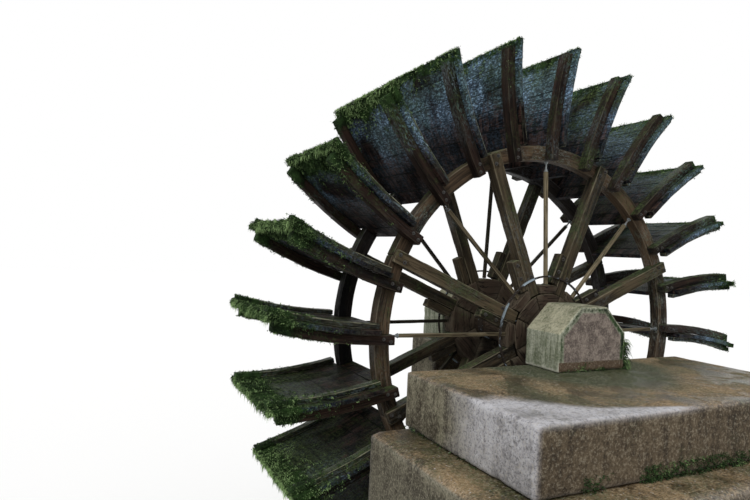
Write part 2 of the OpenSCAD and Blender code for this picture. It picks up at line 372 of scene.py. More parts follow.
@dataclass
class Stock:
    """Gathers bars, plates, bolts and blades, and turns them into one mesh with its surface values.

    The surface values are what the finishes read: grain is a place inside the piece of timber, measured
    along, across and through it; tone is one random number for each timber, which on the hub's plates
    also carries painted shade; edge is 1 on worn edges; moss is the moss cover; and reach is how far out
    on the wheel a point lies.
    """

    name: str
    seed: int
    points: list[Array] = field(default_factory=list)
    faces: dict[int, list[Array]] = field(default_factory=lambda: {4: [], 3: []})
    grain: list[Array] = field(default_factory=list)
    values: dict[str, list[Array]] = field(
        default_factory=lambda: {name: [] for name in ("tone", "edge", "moss", "reach")}
    )
    count: int = 0
    rng: np.random.Generator = field(init=False)

    def __post_init__(self) -> None:
        """Starts the random draws of this piece."""
        self.rng = np.random.default_rng(self.seed)

    def add(
        self, points: Array, *faces: Array, grain: Array | None = None,
        **values: Numbers,
    ) -> None:
        """Adds points with their faces and surface values.

        Args:
            points: Array of n points.
            *faces: Arrays of faces with three or four points each, as indices into points.
            grain: Place of each point inside its piece of timber.
            **values: Surface values by name, one for each point or one for all.
        """
        for rows in faces:
            self.faces[rows.shape[1]].append(rows + self.count)
        self.points.append(points)
        self.grain.append(points if grain is None else grain)
        for name, kept in self.values.items():
            kept.append(np.broadcast_to(np.asarray(values.get(name, 0.0), float), len(points)))
        self.count += len(points)

    def tube(
        self, points: Array, grain: Array, ring: int, edge: Numbers,
        cap_edge: float = 0.0, to_middle: tuple[float, float, float] = (0.0, 0.0, 0.0),
        **values: Cover | float,
    ) -> None:
        """Adds a tube that is closed by a fan at both ends.

        Args:
            points: Its points, ring after ring.
            grain: Place of each point inside its piece of timber.
            ring: How many points a ring has.
            edge: Edge mark of each point, or one for all.
            cap_edge: Edge mark of the two middle points of the fans.
            to_middle: Way inside the timber from a ring's first point to its middle.
            **values: Other surface values by name, each a number or a function of the points.
        """
        total = len(points)
        last = total - ring
        row = np.arange(ring)
        after = (row + 1) % ring
        quads = np.stack([row, row + ring, after + ring, after], axis=1)
        quads = (quads[None] + np.arange(total // ring - 1)[:, None, None] * ring).reshape(-1, 4)
        start = np.stack([row, after, np.full(ring, total)], axis=1)
        end = np.stack([after + last, row + last, np.full(ring, total + 1)], axis=1)
        points = np.concatenate([points, [points[:ring].mean(0), points[last:].mean(0)]])
        grain = np.concatenate([grain, grain[[0, -ring]] + np.array(to_middle)])
        edge = np.append(np.broadcast_to(edge, total), [cap_edge, cap_edge])
        found = {name: value(points) if callable(value) else value for name, value in values.items()}
        self.add(points, quads, start, end, grain=grain, edge=edge, **found)

    def loft(
        self, corners: Array, widths: Array, depths: Array, bevel: float = 0.004,
        cells: tuple[int, int] = (3, 3), relief: float = 0.0015, wear: float = 0.004, knots: float = 30.0,
        cover: Cover = no_cover,
    ) -> None:
        """Adds a bar of timber that is carried along stations, each a corner with two side vectors.

        Args:
            corners: One corner of the bar's section at each station.
            widths: Side vector of the section at each station.
            depths: The other side vector.
            bevel: Width of the bevel along every edge.
            cells: How many faces lie across the width and the depth.
            relief: How deep the surface is eaten at most.
            wear: How much more the edges are eaten.
            knots: Cells of surface noise in a metre across the grain.
            cover: Gives the moss cover at points of the frame.
        """
        corners, widths, depths = self._with_ends(corners, widths, depths, bevel)
        wide = np.linalg.norm(widths, axis=1)[:, None]
        deep = np.linalg.norm(depths, axis=1)[:, None]
        lip = bevel + 0.007
        section = self._section(cells, lip / wide.mean(), lip / deep.mean())
        width_part, depth_part, out_u, out_v, edge = section
        on_width = np.abs(out_v) > np.abs(out_u)
        part_u = np.where(on_width, width_part + (1 - 2 * width_part) * (bevel / wide), width_part)
        part_v = np.where(on_width, depth_part, depth_part + (1 - 2 * depth_part) * (bevel / deep))
        for end in (0, -1):
            part_u[end] = 0.5 + (part_u[end] - 0.5) * (1 - 2 * bevel / wide[end])
            part_v[end] = 0.5 + (part_v[end] - 0.5) * (1 - 2 * bevel / deep[end])
        points = corners[:, None] + part_u[..., None] * widths[:, None] + part_v[..., None] * depths[:, None]
        along = np.broadcast_to(lengthwise(corners + widths / 2 + depths / 2)[:, None], part_u.shape)
        grain = np.stack([along, part_u * wide, part_v * deep], axis=-1)
        grain = grain.reshape(-1, 3) + self.rng.uniform(0, 20, 3)
        edges = np.broadcast_to(edge, part_u.shape).copy()
        edges[[0, -1]] = 1
        edges = edges.ravel()
        pitted = pitting(grain * np.array([knots * 0.18, knots, knots]), self.seed)
        rotted = np.clip(layered_noise(grain * np.array([9.0, 12.0, 12.0]), self.seed + 50), 0, 1)
        eaten = relief * pitted + wear * edges * rotted
        outward = out_u[:, None] * (widths / wide)[:, None] + out_v[:, None] * (depths / deep)[:, None]
        points = points.reshape(-1, 3) - outward.reshape(-1, 3) * eaten[:, None]
        self.tube(
            points, grain, len(edge), edges, 0.3, (0.0, wide[0, 0] / 2, deep[0, 0] / 2),
            tone=self.rng.uniform(), moss=cover, reach=WHEEL.reach,
        )

    def bar(
        self, angle: float, inner: Array, outer: Array, y0: Numbers,
        y1: Numbers, **look: object,
    ) -> None:
        """Adds a bar of timber between two lines on the wheel.

        Args:
            angle: Angle of the radius that the lines are measured from.
            inner: One line, as rows of distances out along that radius and across it.
            outer: The other line.
            y0: Where the bar starts along the axle.
            y1: Where it ends.
            **look: How loft makes its surface.
        """
        corner = WHEEL.set_out(angle, inner, y0)
        width = WHEEL.set_out(angle, outer, y0) - corner
        depth = WHEEL.set_out(angle, inner, y1) - corner
        self.loft(corner, width, depth, **look)

    def rod(
        self, start: Array, end: Array, radius: float, sides: int = 12, bevel: float = 0.001,
        relief: float = 0.0, pieces: int = 1, turn: float = 0.0,
    ) -> None:
        """Adds a round or many-sided bar between two points.

        Args:
            start: Middle of one end.
            end: Middle of the other end.
            radius: Radius of the corners.
            sides: How many sides the bar has.
            bevel: Width of the bevel round both ends.
            relief: How deep the surface is eaten at most.
            pieces: How many stretches the bar is cut into.
            turn: Angle of the first corner.
        """
        length = float(np.linalg.norm(end - start))
        axis = (end - start) / length
        helper = np.array([0, 1, 0]) if abs(axis[1]) < 0.9 else np.array([1, 0, 0])
        side = unit(np.cross(axis, helper))
        stations = np.array([0, *np.linspace(bevel, length - bevel, pieces + 1), length])
        round_it = circle(turn + np.arange(sides) * 2 * math.pi / sides)
        around = round_it[:, :1] * side + round_it[:, 1:] * np.cross(axis, side)
        along = np.repeat(stations, sides)[:, None]
        grain = np.concatenate([along, np.tile(round_it * radius, (len(stations), 1))], axis=1)
        grain = grain + self.rng.uniform(0, 20, 3)
        ends = np.zeros(len(along))
        ends[:sides] = 1
        ends[-sides:] = 1
        eaten = relief * pitting(grain * np.array([6.0, 40.0, 40.0]), self.seed)
        reach = radius - bevel * ends - eaten
        points = start + along * axis + reach[:, None] * np.tile(around, (len(stations), 1))
        self.tube(points, grain, sides, ends, tone=self.rng.uniform(), reach=WHEEL.reach)

    @staticmethod
    def _with_ends(
        corners: Array, widths: Array, depths: Array, bevel: float
    ) -> tuple[Array, ...]:
        """Adds a station close to each end, where the bevel starts.

        Args:
            corners: One corner of a bar's section at each station.
            widths: Side vector of the section at each station.
            depths: The other side vector.
            bevel: Width of the bevel.

        Returns:
            The three arrays with two stations more.
        """
        first = bevel / max(np.linalg.norm(corners[1] - corners[0]), bevel * 2)
        last = bevel / max(np.linalg.norm(corners[-1] - corners[-2]), bevel * 2)
        grown = []
        for rows in (corners, widths, depths):
            near = rows[0] + (rows[1] - rows[0]) * first
            far = rows[-1] + (rows[-2] - rows[-1]) * last
            grown.append(np.concatenate([rows[:1], near[None], rows[1:-1], far[None], rows[-1:]]))
        return tuple(grown)

    @staticmethod
    def _section(cells: tuple[int, int], lip_u: float, lip_v: float) -> tuple[Array, ...]:
        """Places round a bar's section.

        Args:
            cells: How many faces lie across the width and the depth.
            lip_u: Part of the width that the first and last faces take.
            lip_v: Part of the depth that they take.

        Returns:
            Parts of the width and the depth, outward directions along both, and edge marks.
        """
        wide, deep = cells[0] + 3, cells[1] + 3
        sides = [wide, deep, wide, deep]
        up = np.concatenate([[0], np.linspace(lip_u, 1 - lip_u, wide - 2), [1]])
        over = np.concatenate([[0], np.linspace(lip_v, 1 - lip_v, deep - 2), [1]])
        width_part = np.concatenate([up, np.ones(deep), up[::-1], np.zeros(deep)])
        depth_part = np.concatenate([np.zeros(wide), over, np.ones(wide), over[::-1]])
        out_u = np.repeat([0.0, 1.0, 0.0, -1.0], sides)
        out_v = np.repeat([-1.0, 0.0, 1.0, 0.0], sides)
        edge = np.concatenate([np.isin(np.arange(count), (0, count - 1)).astype(float) for count in sides])
        return width_part, depth_part, out_u, out_v, edge

    def piece(self, material: Material, body: Body, slot: str, *replaced: str, smooth: bool = True) -> None:
        """Makes the mesh and its piece.

        Args:
            material: Finish of the whole piece.
            body: Body that carries the piece.
            slot: The record's material slot.
            *replaced: CAD nodes that the piece stands for.
            smooth: Whether faces that meet at a blunt angle are shaded as one.
        """
        mesh = bpy.data.meshes.new(self.name)
        points = np.concatenate(self.points)
        faces = {size: np.concatenate(rows) for size, rows in self.faces.items() if rows}
        loops = np.concatenate([rows.ravel() for rows in faces.values()]).astype(np.int32)
        totals = np.repeat(list(faces), [len(rows) for rows in faces.values()]).astype(np.int32)
        mesh.vertices.add(len(points))
        mesh.vertices.foreach_set("co", points.astype(np.float32).ravel())
        mesh.loops.add(len(loops))
        mesh.loops.foreach_set("vertex_index", loops)
        mesh.polygons.add(len(totals))
        mesh.polygons.foreach_set("loop_start", (np.cumsum(totals) - totals).astype(np.int32))
        mesh.polygons.foreach_set("loop_total", totals)
        mesh.update(calc_edges=True)
        mesh.validate()
        store(mesh, "grain", np.concatenate(self.grain))
        for name, kept in self.values.items():
            store(mesh, name, np.concatenate(kept))
        if smooth:
            mesh.shade_smooth()
            mesh.set_sharp_from_angle(angle=SHARP_ANGLE)
        add_piece(self.name, mesh, material, body, slot, replaced)


class Graph:
    """Short calls that add and join the nodes of one tree."""

    def __init__(self, tree: Tree) -> None:
        """Starts on a tree that gets the nodes."""
        self.tree = tree

    def node(
        self, kind: str, inputs: dict[str | int, object] | None = None, **settings: object
    ) -> bpy.types.Node:
        """Adds a node.

        Args:
            kind: Blender's name of the node type.
            inputs: Values or sockets for its inputs.
            **settings: Other properties of the node.

        Returns:
            The node.
        """
        made = self.tree.nodes.new(kind)
        for name, value in settings.items():
            setattr(made, name, value)
        for name, value in (inputs or {}).items():
            self.feed(made.inputs[name], value)
        return made

    def feed(self, socket: Socket, value: object) -> None:
        """Joins a socket to an input, or sets its value.

        Args:
            socket: The input.
            value: A socket, a number, a vector or a colour.
        """
        if isinstance(value, bpy.types.NodeSocket):
            self.tree.links.new(value, socket)
        elif isinstance(value, tuple) and socket.type == "RGBA":
            socket.default_value = (*value, 1.0)
        else:
            socket.default_value = value

    def math(self, operation: str, *values: object) -> Socket:
        """Result of a Math node."""
        return self.node("ShaderNodeMath", dict(enumerate(values)), operation=operation).outputs[0]

    def product(self, first: object, *factors: object) -> Socket:
        """Product of values.

        Args:
            first: A value.
            *factors: The values that it is multiplied by.

        Returns:
            The product.
        """
        for factor in factors:
            first = self.math("MULTIPLY", first, factor)
        return first

    def weigh(self, *parts: tuple[Socket, object], start: float = 0.0) -> Socket:
        """Sum of values, each times its weight.

        Args:
            *parts: The values with their weights.
            start: A number that is added.

        Returns:
            The sum.
        """
        total: object = start
        for value, weight in parts:
            total = self.math("MULTIPLY_ADD", value, weight, total)
        return total

    def stray(self, value: Socket, *noises: tuple[Socket, float]) -> Socket:
        """A value that noises push up and down from their middle, each by its weight."""
        return self.weigh((value, 1.0), *noises, start=-0.5 * sum(weight for _, weight in noises))

    def noise(
        self, vector: Socket, scale: object, detail: float = 4.0, rough: float = 0.55, warp: float = 0.0
    ) -> Socket:
        """Value of a Noise Texture.

        Args:
            vector: Place that it is read at.
            scale: Cells of the noise in a metre, or a number for each axis.
            detail: How many finer layers it has.
            rough: How strong the finer layers are.
            warp: How far it is distorted.

        Returns:
            The value, from 0 to 1.
        """
        if isinstance(scale, tuple):
            vector = self.node("ShaderNodeVectorMath", {0: vector, 1: scale}, operation="MULTIPLY").outputs[0]
            scale = 1.0
        inputs = {"Vector": vector, "Scale": scale, "Detail": detail, "Roughness": rough, "Distortion": warp}
        return self.node("ShaderNodeTexNoise", inputs).outputs["Fac"]

    def spread(self, value: Socket, low: float, high: float, start: float = 0.0, end: float = 1.0) -> Socket:
        """Smooth step of a value, from start where it is low to end where it is high."""
        inputs = {"Value": value, "From Min": low, "From Max": high, "To Min": start, "To Max": end}
        return self.node("ShaderNodeMapRange", inputs, interpolation_type="SMOOTHSTEP").outputs["Result"]

    def paint(self, base: object, *coats: tuple[object, object]) -> Socket:
        """Colour with coats laid over it in turn.

        Args:
            base: The colour below.
            *coats: The coats, each a mask and a colour.

        Returns:
            The colour that shows.
        """
        for mask, coat in coats:
            made = self.node("ShaderNodeMix", {6: base, 7: coat}, data_type="RGBA", clamp_factor=True)
            self.feed(made.inputs["Factor"], mask)
            base = made.outputs[2]
        return base

    def group(self, tree: Tree, **inputs: object) -> Sockets:
        """Places a node group with its own values, and gives its outputs."""
        return self.node("ShaderNodeGroup", node_tree=tree, inputs=inputs).outputs

    def seen(self) -> Socket:
        """Tells rays that are seen from rays that only carry light.

        Returns:
            1 for rays from the camera, from a reflection or through glass, and 0 for others.
        """
        rays = self.node("ShaderNodeLightPath").outputs
        seen = self.math("MAXIMUM", rays["Is Camera Ray"], rays["Is Glossy Ray"])
        return self.math("MAXIMUM", seen, rays["Is Transmission Ray"])


class EffectGraph(Graph):
    """A node group with named sockets, for an effect that several finishes use."""

    def __init__(self, name: str, **inputs: str) -> None:
        """Starts the group.

        Args:
            name: Name of the group.
            **inputs: Kind of each input, by its name.
        """
        super().__init__(bpy.data.node_groups.new(name, "ShaderNodeTree"))
        for label, kind in inputs.items():
            self.tree.interface.new_socket(name=label, in_out="INPUT", socket_type=f"NodeSocket{kind}")
        self.given = self.tree.nodes.new("NodeGroupInput").outputs

    def give(self, **results: Socket) -> Tree:
        """Ends the group.

        Args:
            **results: What each output gives, by its name.

        Returns:
            The group.
        """
        for label, result in results.items():
            kind = "NodeSocketColor" if result.type == "RGBA" else "NodeSocketFloat"
            self.tree.interface.new_socket(name=label, in_out="OUTPUT", socket_type=kind)
        sink = self.tree.nodes.new("NodeGroupOutput")
        for label, result in results.items():
            self.feed(sink.inputs[label], result)
        return self.tree


@cache
def timber_grain() -> Tree:
    """Fine fibres, broad bands and open cracks that run along a timber.

    Returns:
        The node group.
    """
    graph = EffectGraph("timber grain", Grain="Vector", Cracks="Float")
    grain = graph.given["Grain"]
    fibre = graph.noise(grain, (4.0, 70.0, 70.0), 6.0, 0.65, 0.4)
    streak = graph.noise(grain, (1.8, 36.0, 36.0), 4.0, 0.6, 0.5)
    bands = graph.noise(grain, (1.2, 9.0, 9.0), 4.0, 0.6, 0.8)
    veins = graph.noise(grain, (2.2, 34.0, 34.0), 2.0, 0.5, 0.3)
    off = graph.math("ABSOLUTE", graph.math("SUBTRACT", veins, 0.5))
    crack = graph.product(graph.spread(off, 0.03, 0.0), graph.given["Cracks"])
    height = graph.weigh((fibre, 0.6), (streak, 0.7), (crack, -1.0))
    return graph.give(Fibre=fibre, Streak=streak, Bands=bands, Crack=crack, Height=height)


@cache
def edge_wear() -> Tree:
    """Mask of edges that are rubbed or rotted pale.

    Returns:
        The node group.
    """
    graph = EffectGraph("edge wear", Edge="Float", Place="Vector", Amount="Float")
    patch = graph.noise(graph.given["Place"], 14.0, 5.0, 0.6)
    worn = graph.weigh((graph.given["Edge"], 0.6), (patch, 0.6))
    return graph.give(Mask=graph.product(graph.spread(worn, 0.68, 0.94), graph.given["Amount"]))


@cache
def algae_film() -> Tree:
    """Thin green growth in patches, thicker where the surface faces up.

    Returns:
        The node group.
    """
    graph = EffectGraph("algae film", Place="Vector", Up="Float", Amount="Float")
    broad = graph.noise(graph.given["Place"], 3.2, 4.0, 0.6, 0.6)
    fine = graph.noise(graph.given["Place"], 46.0, 4.0, 0.7)
    level = graph.weigh(
        (graph.given["Up"], 0.17), (broad, 0.75), (fine, 0.40), (graph.given["Amount"], 0.5), start=-0.25
    )
    tint = graph.paint(colour(20, 28, 18), (graph.spread(fine, 0.35, 0.65), colour(68, 80, 48)))
    return graph.give(Mask=graph.spread(level, 0.50, 0.78), Colour=tint)


@cache
def moss_cover() -> Tree:
    """Dense moss: its mask, its colour and its lumpy height.

    Returns:
        The node group.
    """
    graph = EffectGraph("moss cover", Place="Vector", Cover="Float")
    place = graph.given["Place"]
    lumps = graph.noise(place, 38.0, 5.0, 0.7)
    fur = graph.noise(place, 210.0, 3.0, 0.7)
    patch = graph.noise(place, 9.0, 3.0, 0.6)
    mask = graph.spread(graph.stray(graph.given["Cover"], (lumps, 0.9)), 0.34, 0.62)
    dark = graph.paint(colour(7, 12, 7), (fur, colour(30, 44, 24)))
    bright = graph.paint(colour(18, 32, 14), (fur, colour(72, 102, 56)))
    tint = graph.paint(dark, (graph.spread(patch, 0.35, 0.7), bright))
    return graph.give(Mask=mask, Colour=tint, Height=graph.weigh((lumps, 0.7), (fur, 0.5)))


@cache
def water_film() -> Tree:
    """Running water: where it wets a surface, its ripples, the specks of painted highlight on them, and the
    colour of that painted reflection.

    Returns:
        The node group.
    """
    graph = EffectGraph(
        "water film", Grain="Vector", Place="Vector", Amount="Float", Sheen="Color", Outer="Float"
    )
    place = graph.given["Place"]
    sheen = graph.given["Sheen"]
    broad = graph.noise(place, 2.1, 3.0, 0.5, 0.5)
    ripple = graph.noise(graph.given["Grain"], (36.0, 74.0, 74.0), 2.0, 0.5, 0.9)
    level = graph.weigh((broad, 1.0), (graph.given["Amount"], 0.6), start=-0.3)
    patch = graph.noise(place, 2.6, 4.0, 0.65)
    green = graph.spread(graph.weigh((patch, 1.0), (graph.given["Outer"], 0.16)), 0.52, 0.68)
    # Colour of the painted reflection, greener in patches and towards the tip.
    tint = graph.paint(sheen, (green, graph.paint(sheen, (0.62, colour(84, 116, 94)))))
    speck = graph.spread(ripple, 0.46, 0.66)
    return graph.give(Mask=graph.spread(level, 0.36, 0.62), Speck=speck, Colour=tint)


@cache
def concrete_grain() -> Tree:
    """Cast concrete: broad stains, streaks, pits, and its height with fine sand.

    Returns:
        The node group.
    """
    graph = EffectGraph("concrete grain", Place="Vector")
    place = graph.given["Place"]
    stain = graph.noise(place, 2.6, 7.0, 0.62, 0.5)
    streak = graph.noise(place, (16.0, 16.0, 1.6), 5.0, 0.6, 0.3)
    sand = graph.noise(place, 150.0, 3.0, 0.7)
    holes = graph.node("ShaderNodeTexVoronoi", {"Vector": place, "Scale": 34.0}).outputs["Distance"]
    pit = graph.spread(graph.weigh((holes, 1.0), (sand, 0.25)), 0.30, 0.14)
    height = graph.weigh((sand, 0.35), (pit, -0.9), (stain, 0.8))
    return graph.give(Stain=stain, Streak=streak, Pit=pit, Height=height)


class Surface(Graph):
    """The tree of one material, with its shader and what the finishes read from the mesh."""

    def __init__(self, tree: Tree) -> None:
        """Starts on the tree of a new material."""
        super().__init__(tree)
        self.shader = tree.nodes["Principled BSDF"]

    def value(self, name: str) -> Socket:
        """A surface value of the mesh."""
        return self.node("ShaderNodeAttribute", attribute_name=name).outputs["Fac"]

    @cached_property
    def grain(self) -> Socket:
        """Place inside the piece of timber."""
        return self.node("ShaderNodeAttribute", attribute_name="grain").outputs["Vector"]

    @cached_property
    def place(self) -> Socket:
        """Place in the frame, which stays with the piece when it moves."""
        return self.node("ShaderNodeTexCoord").outputs["Object"]

    @cached_property
    def up(self) -> Socket:
        """How far the surface faces up at rest, from -1 to 1."""
        normal = self.node("ShaderNodeTexCoord").outputs["Normal"]
        return self.node("ShaderNodeSeparateXYZ", {"Vector": normal}).outputs["Z"]

    @cached_property
    def edge(self) -> Socket:
        """Edge mark of the mesh."""
        return self.value("edge")

    def algae(self, amount: object) -> Sockets:
        """The algae film on this surface."""
        return self.group(algae_film(), Place=self.place, Up=self.up, Amount=amount)

    def moss(self) -> Sockets:
        """The dense moss on this surface."""
        return self.group(moss_cover(), Place=self.place, Cover=self.value("moss"))

    def shade(self, shine: float, **inputs: object) -> None:
        """Feeds the shader.

        Args:
            shine: Strength of its plain reflection.
            **inputs: Its other inputs by name, with an underscore for a space.
        """
        self.shader.inputs["Specular IOR Level"].default_value = shine
        for name, value in inputs.items():
            self.feed(self.shader.inputs[name.replace("_", " ")], value)

    def bump(self, strength: float, relief: float, height: Socket) -> Socket:
        """Normal that shows a height, where relief is the depth in metres of a height of 1."""
        inputs = {"Strength": strength, "Distance": relief, "Height": height}
        return self.node("ShaderNodeBump", inputs).outputs["Normal"]


class Finish:
    """What the finishes share: a material that each of them dresses in its own way."""

    name: str

    def material(self) -> Material:
        """Builds the material.

        Returns:
            The material.
        """
        made = bpy.data.materials.new(self.name)
        made.use_nodes = True
        self.dress(Surface(made.node_tree))
        return made

    def dress(self, surface: Surface) -> None:
        """Feeds the material's shader."""
        raise NotImplementedError


@dataclass(frozen=True)
class TimberFinish(Finish):
    """Old timber with grain, cracks, worn edges, algae, moss and a film of water, over which the sky's
    reflection is painted as a soft veil and bright specks.
    """

    name: str
    dark: Colour
    light: Colour
    worn: Colour
    sheen: Colour
    algae: float = 0.4
    outer_algae: float = 0.0
    water: float = 0.5
    low_water: float = 0.3
    drips: float = 0.0
    wear: float = 0.6
    cracks: float = 0.7
    relief: float = 0.004
    gloss: float = 0.32
    shine: float = 0.12
    tone_pull: float = 0.16
    haze: float = 0.0
    spray_from: tuple[float, float, float] = (0.5, 0.0, 0.87)
    spray_dry: float = 1.95
    spray_wet: float = 2.65

    def dress(self, surface: Surface) -> None:
        """Lays algae, the painted reflection on the film of water, wear, cracks and moss over the timber.

        Args:
            surface: The material's tree.
        """
        place = surface.place
        outer = surface.spread(surface.value("reach"), 1.1, 1.9)
        wood = surface.group(timber_grain(), Grain=surface.grain, Cracks=self.cracks)
        film = surface.algae(surface.weigh((outer, self.outer_algae), start=self.algae))
        moss = surface.moss()
        worn = surface.group(edge_wear(), Edge=surface.edge, Place=place, Amount=self.wear)["Mask"]
        water = surface.group(
            water_film(), Grain=surface.grain, Place=place, Amount=self.water, Sheen=self.sheen, Outer=outer
        )
        blend = surface.weigh(
            (wood["Bands"], 0.45), (surface.value("tone"), self.tone_pull), (wood["Streak"], 0.45),
            (wood["Fibre"], 0.25),
        )
        base = surface.paint(self.dark, (surface.spread(blend, 0.46, 0.86), self.light))
        if self.drips:
            base = self._dripped(surface, base, outer)
        # Where the painted reflection shows: weaker on faces that face up, stronger outwards and towards
        # spray_from.
        spray = surface.node("ShaderNodeVectorMath", {0: place, 1: self.spray_from}, operation="DOT_PRODUCT")
        wet = surface.product(
            water["Mask"],
            surface.spread(outer, 0.0, 0.6, self.low_water, 1.0),
            surface.spread(surface.up, 0.0, 1.0, 0.92, 0.22),
            surface.spread(spray.outputs["Value"], self.spray_dry, self.spray_wet, 0.22, 1.0),
        )
        base = surface.paint(
            base,
            (film["Mask"], film["Colour"]),
            # Painted reflection of the sky on the film of water: a soft veil, then bright specks.
            (surface.product(wet, self.haze), water["Colour"]),
            (surface.product(wet, water["Speck"]), water["Colour"]),
            (worn, self.worn),
            # Open cracks painted near black: dirt in them and painted shade.
            (surface.product(wood["Crack"], 0.9), colour(6, 5, 4)),
            (moss["Mask"], moss["Colour"]),
        )
        dry = surface.spread(water["Mask"], 0.0, 1.0, 0.8, self.gloss)
        height = surface.weigh(
            (wood["Height"], 1.0), (surface.product(water["Mask"], water["Speck"]), 0.9),
            (surface.product(moss["Mask"], moss["Height"]), 3.0),
        )
        surface.shade(
            self.shine, Base_Color=base, Normal=surface.bump(0.9, self.relief, height),
            Roughness=surface.math("MAXIMUM", dry, surface.product(moss["Mask"], 0.9)),
        )

    def _dripped(self, surface: Surface, base: Socket, outer: Socket) -> Socket:
        """Adds the brown and black runs that water leaves across the planks.

        Args:
            surface: The material's tree.
            base: Colour of the timber.
            outer: How far out on the paddle a point lies, from 0 to 1.

        Returns:
            The colour with the runs.
        """
        across = surface.noise(surface.grain, (24.0, 2.6, 2.6), 4.0, 0.6, 0.2)
        run = surface.weigh((across, 0.6), (surface.noise(surface.place, 19.0, 5.0, 0.68), 0.4))
        brown = surface.product(
            surface.spread(run, 0.47, 0.60), surface.spread(outer, 0.85, 0.15), self.drips,
            surface.spread(surface.edge, 0.5, 0.05),
        )
        black = surface.product(surface.spread(run, 0.52, 0.42), self.drips)
        return surface.paint(base, (brown, colour(78, 59, 52)), (black, colour(7, 7, 8)))


@dataclass(frozen=True)
class MossFinish(Finish):
    """Moss blades, darker at the root and lighter at the tip."""

    name: str
    root: Colour
    tip: Colour
    pale: Colour

    def dress(self, surface: Surface) -> None:
        """Shades the blades along their length, with pale tips in patches that are a painted highlight.

        Args:
            surface: The material's tree.
        """
        tone = surface.value("tone")
        patch = surface.noise(surface.place, 7.0, 3.0, 0.6)
        grown = surface.spread(surface.weigh((surface.edge, 1.0), (tone, 0.3)), 0.15, 1.2)
        # Painted highlight: pale tips in patches.
        light = surface.spread(surface.weigh((patch, 1.0), (tone, 0.5)), 0.74, 1.02)
        light = surface.product(light, surface.edge)
        tint = surface.paint(self.root, (grown, self.tip), (light, self.pale))
        surface.shade(0.15, Base_Color=tint, Roughness=0.7)


@dataclass(frozen=True)
class IronFinish(Finish):
    """Iron with rust blooms and some bare metal."""

    name: str
    bare: Colour
    rust: Colour
    rust_amount: float = 0.5
    metal: float = 0.6
    bare_pull: float = 0.25
    deep_rust: float = 0.35

    def dress(self, surface: Surface) -> None:
        """Lets rust bloom over the metal, with a thin film of algae.

        Args:
            surface: The material's tree.
        """
        bloom = surface.noise(surface.place, 23.0, 6.0, 0.65, 0.4)
        grit = surface.noise(surface.place, 240.0, 3.0, 0.6)
        level = surface.weigh((surface.stray(bloom, (grit, 0.3)), 1.0), (surface.edge, -self.bare_pull))
        held = self.rust_amount * 0.55
        rusted = surface.spread(level, 0.78 - held, 0.92 - held)
        rust = surface.paint(self.rust, (grit, tuple(part * self.deep_rust for part in self.rust)))
        film = surface.algae(0.2)
        surface.shade(
            0.3,
            Base_Color=surface.paint(self.bare, (rusted, rust), (film["Mask"], film["Colour"])),
            Metallic=surface.spread(rusted, 0.0, 1.0, self.metal, 0.05),
            Roughness=surface.spread(rusted, 0.0, 1.0, 0.42, 0.9),
            Normal=surface.bump(0.6, 0.0015, surface.math("ADD", level, rusted)),
        )


class ConcreteFinish(Finish):
    """What the finishes of cast concrete share: pale and dark grit, pits and moss over their colours."""

    grit_cells = 74.0

    @staticmethod
    def cast(surface: Surface) -> Sockets:
        """The grain of the concrete."""
        return surface.group(concrete_grain(), Place=surface.place)

    def grit(
        self, surface: Surface, pale: tuple[float, float, Colour], dark: tuple[float, float, Colour]
    ) -> list[tuple[Socket, Colour]]:
        """Coats of pale and of dark grains.

        Args:
            surface: The material's tree.
            pale: Noise value at which the pale grains are full, their strength and their colour.
            dark: The same for the dark grains.

        Returns:
            The two coats, each a mask and a colour.
        """
        noise = surface.noise(surface.place, self.grit_cells, 3.0, 0.7)
        return [
            (surface.product(surface.spread(noise, start, full), strength), tint)
            for start, (full, strength, tint) in ((0.52, pale), (0.48, dark))
        ]

    def close(
        self, surface: Surface, base: Socket, cast: Sockets, pit: Colour,
        mottle: Socket, relief: float, shine: float, rough: Socket,
    ) -> None:
        """Lays pits and moss over the concrete and feeds the shader.

        Args:
            surface: The material's tree.
            base: Colour of the concrete.
            cast: Its grain.
            pit: Colour of the pits.
            mottle: Noise that its height follows.
            relief: Depth of the relief.
            shine: Strength of the plain reflection.
            rough: Roughness.
        """
        moss = surface.moss()
        height = surface.weigh(
            (cast["Height"], 1.0), (surface.product(moss["Mask"], moss["Height"]), 1.0), (mottle, 0.8)
        )
        surface.shade(
            shine,
            # Pits painted darker: dirt in them and painted shade.
            Base_Color=surface.paint(
                base, (surface.product(cast["Pit"], 0.6), pit), (moss["Mask"], moss["Colour"])
            ),
            Roughness=rough,
            Normal=surface.bump(0.8, relief, height),
        )


